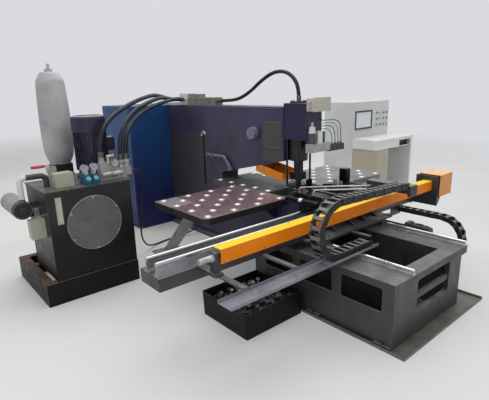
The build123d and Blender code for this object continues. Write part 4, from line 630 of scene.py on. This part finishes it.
# Drag chains: links with tapered walls, cross bars and pin heads
def chain_positions(start, bend, radius, turn, end, count):
    """Points of the chain's line, as pairs of length along it and height."""
    first_run = abs(start[0] - bend)
    arc = math.pi * radius
    far = start[1] + turn * 2 * radius
    last_run = math.hypot(end[0] - bend, end[1] - far)
    total = first_run + arc + last_run
    out_way = 1 if bend > start[0] else -1
    points = []
    for index in range(count + 1):
        run = total * index / count
        if run < first_run:
            points.append((start[0] + out_way * run, start[1]))
        elif run < first_run + arc:
            angle = (run - first_run) / radius
            points.append((bend + out_way * radius * math.sin(angle), start[1] + turn * radius * (1 - math.cos(angle))))
        else:
            share = (run - first_run - arc) / last_run
            points.append((bend + (end[0] - bend) * share, far + (end[1] - far) * share))
    return points, first_run / total, (first_run + arc) / total


def link_mesh(pitch, height, width, narrow):
    """One link in its own axes: X along the chain, Y across it, Z out of the bend."""
    mesh = bmesh.new()
    half = pitch / 2 + 18
    top = height / 2 - 2
    wall = 3.6
    reach = width / 2 - (wall + 0.3 if narrow else 0.0)
    upper_edge = [(-half, 0.7 * top), (-half + 3, 0.9 * top), (-half + 10, top), (half - 10, top), (half - 3, 0.9 * top),
                  (half, 0.7 * top)]
    outline = upper_edge + [(x, -z) for x, z in reversed(upper_edge)]
    for side in (-1, 1):
        outer = [mesh.verts.new(Vector((x, side * reach, z)) / 1000) for x, z in outline]
        inner = [mesh.verts.new(Vector((x, side * (reach - wall), z)) / 1000) for x, z in outline]
        mesh.faces.new(outer if side < 0 else outer[::-1])
        mesh.faces.new(inner[::-1] if side < 0 else inner)
        for k in range(len(outline)):
            ring = (outer[k], outer[k - 1], inner[k - 1], inner[k])
            mesh.faces.new(ring if side < 0 else ring[::-1])
    inside = reach - wall
    walls = len(mesh.faces)
    for low, high in ((1 - top, 6 - top), (top - 6, top - 1)):
        add_block(mesh, (-13, -inside, low), (13, inside, high), 1.5, 1)
    for side in (-1, 1):
        low, high = sorted((side * (inside - 9), side * inside))
        add_block(mesh, (-26, low, top - 5), (26, high, top - 1), 1.5, 1)
    mesh.faces.ensure_lookup_table()
    # The cross bars take the second material, a painted highlight in light grey
    for face in mesh.faces[walls:]:
        face.material_index = 1
    for side in (-1, 1):
        edge = side * reach
        add_rod(mesh, (-pitch / 2, edge - side * 1, 0), (-pitch / 2, edge + side * 1.2, 0), 8, segments=12)
    made = bpy.data.meshes.new("link")
    mesh.to_mesh(made)
    mesh.free()
    return made


def make_chain(name, start, bend, radius, turn, end, count, along, across_place, height, width):
    points, first_share, second_share = chain_positions(start, bend, radius, turn, end, count)
    runs = {"first": bmesh.new(), "bend": bmesh.new(), "last": bmesh.new()}
    across = Vector((0, 1, 0)) if along.x else Vector((1, 0, 0))
    (u0, z0), (u1, z1) = points[0], points[1]
    pitch = math.hypot(u1 - u0, z1 - z0)
    links = [link_mesh(pitch, height, width, narrow) for narrow in (False, True)]
    for index in range(count):
        (u0, z0), (u1, z1) = points[index], points[index + 1]
        middle_share = (index + 0.5) / count
        part = "first" if middle_share < first_share else "bend" if middle_share < second_share else "last"
        way = (along * (u1 - u0) + Vector((0, 0, z1 - z0))).normalized()
        out = way.cross(across)
        middle = along * (u0 + u1) / 2 + Vector((0, 0, (z0 + z1) / 2)) + across * across_place
        matrix = Matrix((way, across, out)).transposed().to_4x4()
        matrix = Matrix.Translation(middle / 1000) @ matrix
        link = links[index % 2].copy()
        link.transform(matrix)
        runs[part].from_mesh(link)
        bpy.data.meshes.remove(link)
    for part, mesh in runs.items():
        piece = place_piece(mesh, f"{name}_{part}", None, plastic)
        # Second material: the painted highlight on the cross bars
        piece.data.materials.append(lit_bar_plastic)
        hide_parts(name)
        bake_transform(piece)


make_chain(
    "x_chain", (-324, 571.5), -710, 200, 1, (163.6, 940), 29, Vector((1, 0, 0)), -1000, 56, 100)
make_chain(
    "y_chain", (-795.5, 630), -1195, 175, -1, (-1010, 280), 17, Vector((0, 1, 0)), 525, 44, 80)

# Weld beads on the press frame
beads = bmesh.new()
for side in (-1, 1):
    x = side * 126.5
    add_bead(beads, [(x, 106, 1174), (x, 374, 1174), (x, 374, 1420), (x, 106, 1420), (x, 106, 1174)], 4)
    x = side * 121
    add_bead(beads, [(x, 130, 1548), (x, 2140, 1548)], 3.2)
    add_bead(beads, [(x, -90, 24), (x, 2140, 24)], 5)
    ring = [(side * 129, 495 + 61 * math.cos(a), 1301 + 61 * math.sin(a)) for a in (math.tau * k / 24 for k in range(25))]
    add_bead(beads, ring, 3.5, 5)
place_piece(beads, "frame_welds", "machine", frame_paint, True)

# Gauges on the power unit: bezel, white dial with ticks and a pointer
dials = bmesh.new()
marks = bmesh.new()
rings = bmesh.new()
for gauge_x, gauge_z in ((-1745, 1116), (-1662, 1120), (-1468, 1130)):
    face_y = 861.6
    add_rod(dials, (gauge_x, 862.4, gauge_z), (gauge_x, face_y, gauge_z), 31, segments=32)
    add_rod(rings, (gauge_x, 866, gauge_z), (gauge_x, 862.2, gauge_z), 36, 35, segments=32)
    for index in range(11):
        angle = math.radians(225 - 27 * index)
        way = Vector((math.cos(angle), 0, math.sin(angle)))
        middle = Vector((gauge_x, face_y - 0.4, gauge_z))
        add_rod(marks, middle + way * 22, middle + way * 28, 0.9, segments=6)
    pointer = Vector((math.cos(2.4), 0, math.sin(2.4)))
    add_rod(marks, middle - pointer * 6, middle + pointer * 22, 1.6, 0.5, segments=6)
place_piece(dials, "gauge_dials", "machine", dial_face)
place_piece(marks, "gauge_marks", "machine", plastic)
place_piece(rings, "gauge_bezels", "machine", chrome, True)

# Solenoid coils: bright end discs, and a plug on each
coils = bmesh.new()
plugs = bmesh.new()
for coil_x in (-1738, -1672):
    add_rod(coils, (coil_x, 829, 1034), (coil_x, 806, 1034), 19, 17, 24)
    add_rod(coils, (coil_x, 806, 1034), (coil_x, 800, 1034), 9, 7, 16)
    add_block(plugs, (coil_x - 15, 850, 1062), (coil_x + 15, 902, 1090), 4)
    add_rod(plugs, (coil_x, 902, 1076), (coil_x, 918, 1076), 7, 6, 12)
place_piece(coils, "coil_discs", "machine", coil_face, True)
place_piece(plugs, "coil_plugs", "machine", fitting_white)

# Fittings on the manifold: check valve lying in front, plugs, elbows and a pressure sensor
fittings = bmesh.new()
add_rod(fittings, (-1586, 884, 1036), (-1566, 884, 1036), 17, segments=6)
add_rod(fittings, (-1566, 884, 1036), (-1450, 884, 1036), 20)
add_rod(fittings, (-1450, 884, 1036), (-1428, 884, 1036), 24, segments=6)
add_rod(fittings, (-1428, 884, 1036), (-1398, 884, 1036), 15)
add_rod(fittings, (-1508, 905, 1036), (-1508, 884, 1036), 15)
for plug_x in (-1560, -1530, -1470, -1430, -1390):
    add_rod(fittings, (plug_x, 905, 998), (plug_x, 895, 998), 12, segments=6)
add_rod(fittings, (-1500, 945, 1127), (-1500, 945, 1146), 17, segments=6)
add_rod(fittings, (-1500, 945, 1146), (-1500, 945, 1184), 13)
add_rod(fittings, (-1512, 945, 1184), (-1462, 945, 1184), 14)
add_rod(fittings, (-1462, 945, 1184), (-1446, 945, 1184), 17, segments=6)
for port_x in (-1375, -1322):
    add_rod(fittings, (port_x, 950, 1069), (port_x, 950, 1092), 31, segments=6)
    add_rod(fittings, (port_x, 950, 1118), (port_x, 950, 1139), 30, segments=6)
add_rod(fittings, (-1560, 945, 1128), (-1560, 945, 1146), 31, segments=6)
place_piece(fittings, "manifold_fittings", "machine", fitting_white, True)
sensor = bmesh.new()
add_rod(sensor, (-1466, 932, 1127), (-1466, 932, 1142), 15, segments=6)
add_rod(sensor, (-1466, 932, 1142), (-1466, 932, 1176), 12)
add_rod(sensor, (-1466, 932, 1176), (-1466, 932, 1188), 8, 6)
place_piece(sensor, "pressure_sensor", "machine", bronze, True)
cap = bmesh.new()
add_rod(cap, (-1508, 866, 1036), (-1508, 859, 1036), 9, 7, 16)
place_piece(cap, "fitting_cap", "machine", red_paint, True)

# Gas accumulator: forged bottle with steep shoulders, seat ring and charging valve
ACCUMULATOR = (-1722, 1560)
bottle = bmesh.new()
add_turned(bottle, ACCUMULATOR, [
    (92, 1085.3), (93, 1094), (100, 1102), (112, 1125), (122, 1152), (131, 1190), (136, 1240), (139, 1320), (141, 1400),
    (141, 1480), (139, 1560), (136, 1650), (132, 1740), (128, 1810), (125, 1848), (122, 1864), (114, 1880), (86, 1926),
    (80, 1934), (70, 1938), (38, 1941), (37, 1966), (17, 1966), (17, 1974), (15, 1975), (15, 1990), (12, 1992),
    (12, 2012), (9, 2015.5)], 72)
bottle_piece = place_piece(bottle, "accumulator_bottle", "machine", bottle_paint, True)
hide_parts("accumulator")

# Upright motor: flange with bolts, cooling fins, fan cowl with its grille and the terminal box
MOTOR = (-1530, 1230)
cowl_top = 1543.5
body = bmesh.new()
add_turned(body, MOTOR, [
    (154, 975.3), (154, 1001), (150, 1005), (132, 1006), (132, 1040), (137, 1044), (137, 1400), (132, 1404), (132, 1412)])
for step in range(36):
    angle = math.tau * step / 36
    way = Vector((math.cos(angle), math.sin(angle), 0))
    fin_matrix = Matrix.Translation(metres(*MOTOR, 1222) + way * 0.1425) @ Matrix.Rotation(angle, 4, "Z")
    bmesh.ops.create_cube(body, size=1, matrix=fin_matrix @ Matrix.Diagonal((0.017, 0.0035, 0.348, 1)))
add_turned(body, MOTOR, [
    (153, 1404), (153, 1412), (154.5, 1413), (154.5, 1506), (152, 1524), (144, 1537), (132, cowl_top - 1.5),
    (124, cowl_top), (116, cowl_top), (116, cowl_top - 4), (98, cowl_top - 4), (98, cowl_top), (90, cowl_top),
    (90, cowl_top - 4), (72, cowl_top - 4), (72, cowl_top), (64, cowl_top), (64, cowl_top - 4), (46, cowl_top - 4),
    (46, cowl_top), (30, cowl_top)], 72)
add_block(body, (-1400, 1172, 1207), (-1326, 1278, 1333), 6)
add_block(body, (-1328, 1168, 1203), (-1320.5, 1282, 1337), 3)
motor_piece = place_piece(body, "pump_motor_body", "machine", motor_paint, True)
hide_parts("pump_motor")
flange_bolts = bmesh.new()
for step in range(8):
    angle = math.tau * (step + 0.5) / 8
    add_screw(flange_bolts, (MOTOR[0] + 143 * math.cos(angle), MOTOR[1] + 143 * math.sin(angle), 1001), (0, 0, 1), 9, 10, False)
for corner_y in (1178, 1272):
    for corner_z in (1213, 1327):
        add_screw(flange_bolts, (-1320.5, corner_y, corner_z), (1, 0, 0), 4, 3)
place_piece(flange_bolts, "pump_motor_screws", "machine", dark_steel)

# Cap of the long screw's left bearing
bearing_cap = bmesh.new()
add_rod(bearing_cap, (-1614.5, -763, 742), (-1622, -763, 742), 26)
add_rod(bearing_cap, (-1622, -763, 742), (-1712, -763, 742), 20)
add_rod(bearing_cap, (-1712, -763, 742), (-1716, -763, 742), 20, 17)
place_piece(bearing_cap, "screw_bearing_cap", "saddle", fitting_white, True)
screws("left_bearing_screws", "saddle", [(-1614, y, z) for y in (-785, -741) for z in (715, 768)], (-1, 0, 0), 4, 4)

# Side motor: light ring round its dark end shield, screws and a seam
ring_mesh = bmesh.new()
add_ring(ring_mesh, (-2240, 1012, 815), (0, 1, 0), 72, 4)
for seam_y in (1062, 1400):
    add_ring(ring_mesh, (-2240, seam_y, 815), (0, 1, 0), 76, 1.9)
place_piece(ring_mesh, "side_motor_rings", "machine", ferrule_metal, True)
shield = bmesh.new()
add_rod(shield, (-2240, 1010, 815), (-2240, 1004, 815), 60, 56, 32)
add_rod(shield, (-2240, 1004, 815), (-2240, 1000, 815), 22, 20, 24)
place_piece(shield, "side_motor_shield", "machine", black_paint)
screws("side_motor_screws", "machine", [
    (-2240 + 66 * math.cos(math.radians(a)), 1009, 815 + 66 * math.sin(math.radians(a))) for a in (45, 135, 225, 315)],
    (0, -1, 0), 4.5, 4)

# Tank: rim of the round cover in a lighter metal, a painted highlight along its edge; its six bright bolts, and screws
# of the level glass and of the small box
rim = bmesh.new()
add_ring(rim, (-1734, 790.5, 651), (0, 1, 0), 236, 3.2, 96)
place_piece(rim, "cover_rim_highlight", "machine", cast_alloy, True)
cover_bolts = [
    (-1734 + 227 * math.cos(math.radians(30 + 60 * k)), 784, 651 + 227 * math.sin(math.radians(30 + 60 * k)))
    for k in range(6)]
screws("cover_bolts", "machine", cover_bolts, (0, -1, 0), 6.5, 6, fitting_white, False)
screws("level_gauge_screws", "machine", [(-2015, 793, z) for z in (714, 896)], (0, -1, 0), 6, 5, fitting_white)
screws("side_box_screws", "machine", [(x, 925, z) for x in (-2212, -2116) for z in (584, 722)], (0, -1, 0), 4, 3, fitting_white)

# Button caps on the console
caps = bmesh.new()
lit = bmesh.new()
stops = bmesh.new()
for column in range(4):
    for row in range(3):
        x = 3370 + 95 * (column - 1.5)
        z = 1200 + 95 * (row - 1)
        target = lit if (column == 1 and row > 0) else stops if (column, row) in ((3, 0), (0, 0)) else caps
        add_rod(target, (x, 1217.2, z), (x, 1214.5, z), 17, 14.5, 20)
place_piece(caps, "button_caps", "machine", plastic)
place_piece(lit, "button_caps_green", "machine", green_button)
place_piece(stops, "button_caps_red", "machine", red_button)

# Slugs lying loose on the heap in the bin
random.seed(7)
slugs = bmesh.new()
for index in range(170):
    x = random.uniform(-1270, -762)
    y = random.uniform(-665, -215)
    edge = min(x + 1290, -742 - x, y + 690, -190 - y) / 250
    z = 140 + 28 * min(1.0, edge) + random.uniform(-4, 6)
    tilt = Vector((random.uniform(-0.6, 0.6), random.uniform(-0.6, 0.6), 1)).normalized()
    middle = Vector((x, y, z))
    add_rod(slugs, middle - tilt * 6, middle + tilt * 6, random.choice((19, 19, 14)), segments=14)
place_piece(slugs, "loose_slugs", "machine", slug_metal)

# Screws: rail supports, guard, tables, covers, bearing blocks
screws("x_support_screws", "saddle", [(x, y, 651) for x in range(-1870, 1060, 150) for y in (-607, -567, -483, -443)],
       (0, 0, 1), 5.5, 7, bright_steel)
screws("guard_screws", "saddle", [(x, -808.2, 720) for x in range(-1540, 1060, 320)], (0, -1, 0), 5, 4, bright_steel)
screws("guard_top_screws", "saddle", [(x, -730, 800) for x in range(-1540, 1060, 320)], (0, 0, 1), 5, 3.5, bright_steel)

screws("table_screws", "machine", [
    (x, y, 770) for x in (-1212, -308, 308, 1212) for y in (-40, 190, 420, 615)], (0, 0, 1), 6, 2.5, bright_steel)
screws("throat_table_screws", "machine", [(x, y, 770) for x in (-272, 272) for y in (150, 570, 990)],
       (0, 0, 1), 6, 2.5, bright_steel)
screws("wing_screws", "saddle", [
    (rail_x + dx, block_y + dy, 573) for rail_x in (-449, 346) for block_y in (-690, -300)
    for dx in (-22, 22) for dy in (-32, 32)], (0, 0, 1), 6.5, 7, dark_steel)
screws("beam_cap_screws", "saddle", [(-1910, y, z) for y in (-603, -387) for z in (565, 633)], (-1, 0, 0), 4, 3)
screws("drive_cover_screws", "saddle", [(x, -880, z) for x in (1118, 1337) for z in (658, 842)], (0, -1, 0), 4.5, 3)
screws("drive_cover_top_screws", "saddle", [(x, y, 860) for x in (1118, 1337) for y in (-862, -678)], (0, 0, 1), 4.5, 3)
screws("end_plate_screws", "saddle", [(1100, y, z) for y in (-640, -560, -470, -395) for z in (575, 625)], (1, 0, 0), 6, 6)
screws("trough_screws", "saddle", [(bar_x, -1000, 543) for bar_x in (-1500, -1050, -600)], (0, 0, 1), 5, 2.5, bright_steel)
screws("head_bolts", "machine", [(x, -190, z) for x in (-88, 88) for z in (1300, 1450)], (0, -1, 0), 9, 9)
screws("box_lid_screws", "machine", [(x, -276, z) for x in (-98, 110) for z in (1540, 1638)], (0, -1, 0), 4, 2.5, bright_steel)
for side, side_name in ((-1, "left"), (1, "right")):
    screws(f"housing_screws_{side_name}", "machine", [
        (side * 683, y, z) for y in (2268, 2550, 2832) for z in (200, 620, 1040, 1420)], (side, 0, 0), 7, 4)
screws("housing_screws_rear", "machine", [(x, 2939, z) for x in (-540, 0, 540) for z in (160, 620, 1040, 1460)],
       (0, 1, 0), 7, 3.8)

# Floor, lights and background
BACKGROUND = linear(218, 219, 222)
bpy.ops.mesh.primitive_plane_add(size=80, location=(0, 6, -0.0005))
floor = bpy.context.object
floor.name = "studio_floor"
floor_surface = Surface("studio_floor")
tone = floor_surface.between(floor_surface.noise(0.7, 6.0), 0.35, 0.65)
floor_colour = floor_surface.mix(tone, linear(204, 200, 195), linear(212, 209, 205))
floor_surface.tree.links.new(floor_colour, floor_surface.shader.inputs["Base Color"])
floor_surface.shader.inputs["Roughness"].default_value = 0.6
flat_place = floor_surface.add("ShaderNodeVectorMath", {0: floor_surface.place, 1: (1, 1, 0)}, operation="MULTIPLY").outputs[0]
distance = floor_surface.add("ShaderNodeVectorMath", {0: flat_place}, operation="LENGTH").outputs["Value"]
floor_path = floor_surface.add("ShaderNodeLightPath").outputs
floor_seen = floor_surface.math("MAXIMUM", floor_path["Is Camera Ray"], floor_path["Is Glossy Ray"])
far_share = floor_surface.math("MULTIPLY", floor_surface.between(distance, 4.5, 12.0), floor_seen)
far_glow = floor_surface.add("ShaderNodeEmission", {"Color": BACKGROUND, "Strength": 1.0}).outputs[0]
floor_blend = floor_surface.add("ShaderNodeMixShader", {0: far_share, 1: floor_surface.shader.outputs[0], 2: far_glow})
floor_output = floor_surface.tree.nodes["Material Output"]
floor_surface.tree.links.new(floor_blend.outputs[0], floor_output.inputs[0])
floor.data.materials.append(floor_surface.material)

world = bpy.data.worlds.new("world")
bpy.context.scene.world = world
world.use_nodes = True
tree = world.node_tree
tree.nodes.clear()
output = tree.nodes.new("ShaderNodeOutputWorld")
light_path = tree.nodes.new("ShaderNodeLightPath")
lamp = tree.nodes.new("ShaderNodeBackground")
lamp.inputs["Color"].default_value = (0.93, 0.96, 1.0, 1)
lamp.inputs["Strength"].default_value = 0.8
seen = tree.nodes.new("ShaderNodeBackground")
seen.inputs["Color"].default_value = BACKGROUND
seen.inputs["Strength"].default_value = 1.0
blend_node = tree.nodes.new("ShaderNodeMixShader")
either = tree.nodes.new("ShaderNodeMath")
either.operation = "MAXIMUM"
tree.links.new(light_path.outputs["Is Camera Ray"], either.inputs[0])
tree.links.new(light_path.outputs["Is Glossy Ray"], either.inputs[1])
with_glass = tree.nodes.new("ShaderNodeMath")
with_glass.operation = "MAXIMUM"
tree.links.new(either.outputs[0], with_glass.inputs[0])
tree.links.new(light_path.outputs["Is Transmission Ray"], with_glass.inputs[1])
tree.links.new(with_glass.outputs[0], blend_node.inputs[0])
tree.links.new(lamp.outputs[0], blend_node.inputs[1])
tree.links.new(seen.outputs[0], blend_node.inputs[2])
tree.links.new(blend_node.outputs[0], output.inputs[0])


def add_lamp(name, place, target, size, power):
    data = bpy.data.lights.new(name, "AREA")
    data.shape = "RECTANGLE"
    data.size, data.size_y = size
    data.energy = power
    made = bpy.data.objects.new(name, data)
    made.matrix_world = Matrix.Translation(place) @ (
        (Vector(target) - Vector(place)).to_track_quat("-Z", "Y").to_matrix().to_4x4())
    bpy.context.scene.collection.objects.link(made)


add_lamp("sky_light", (0.5, 1.4, 6.0), (0.5, 0.8, 0), (8, 6), 300)
add_lamp("front_light", (-4.5, -4.0, 4.0), (0, 0.3, 0.8), (3, 3), 50)

bpy.context.scene.view_settings.view_transform = "Standard"
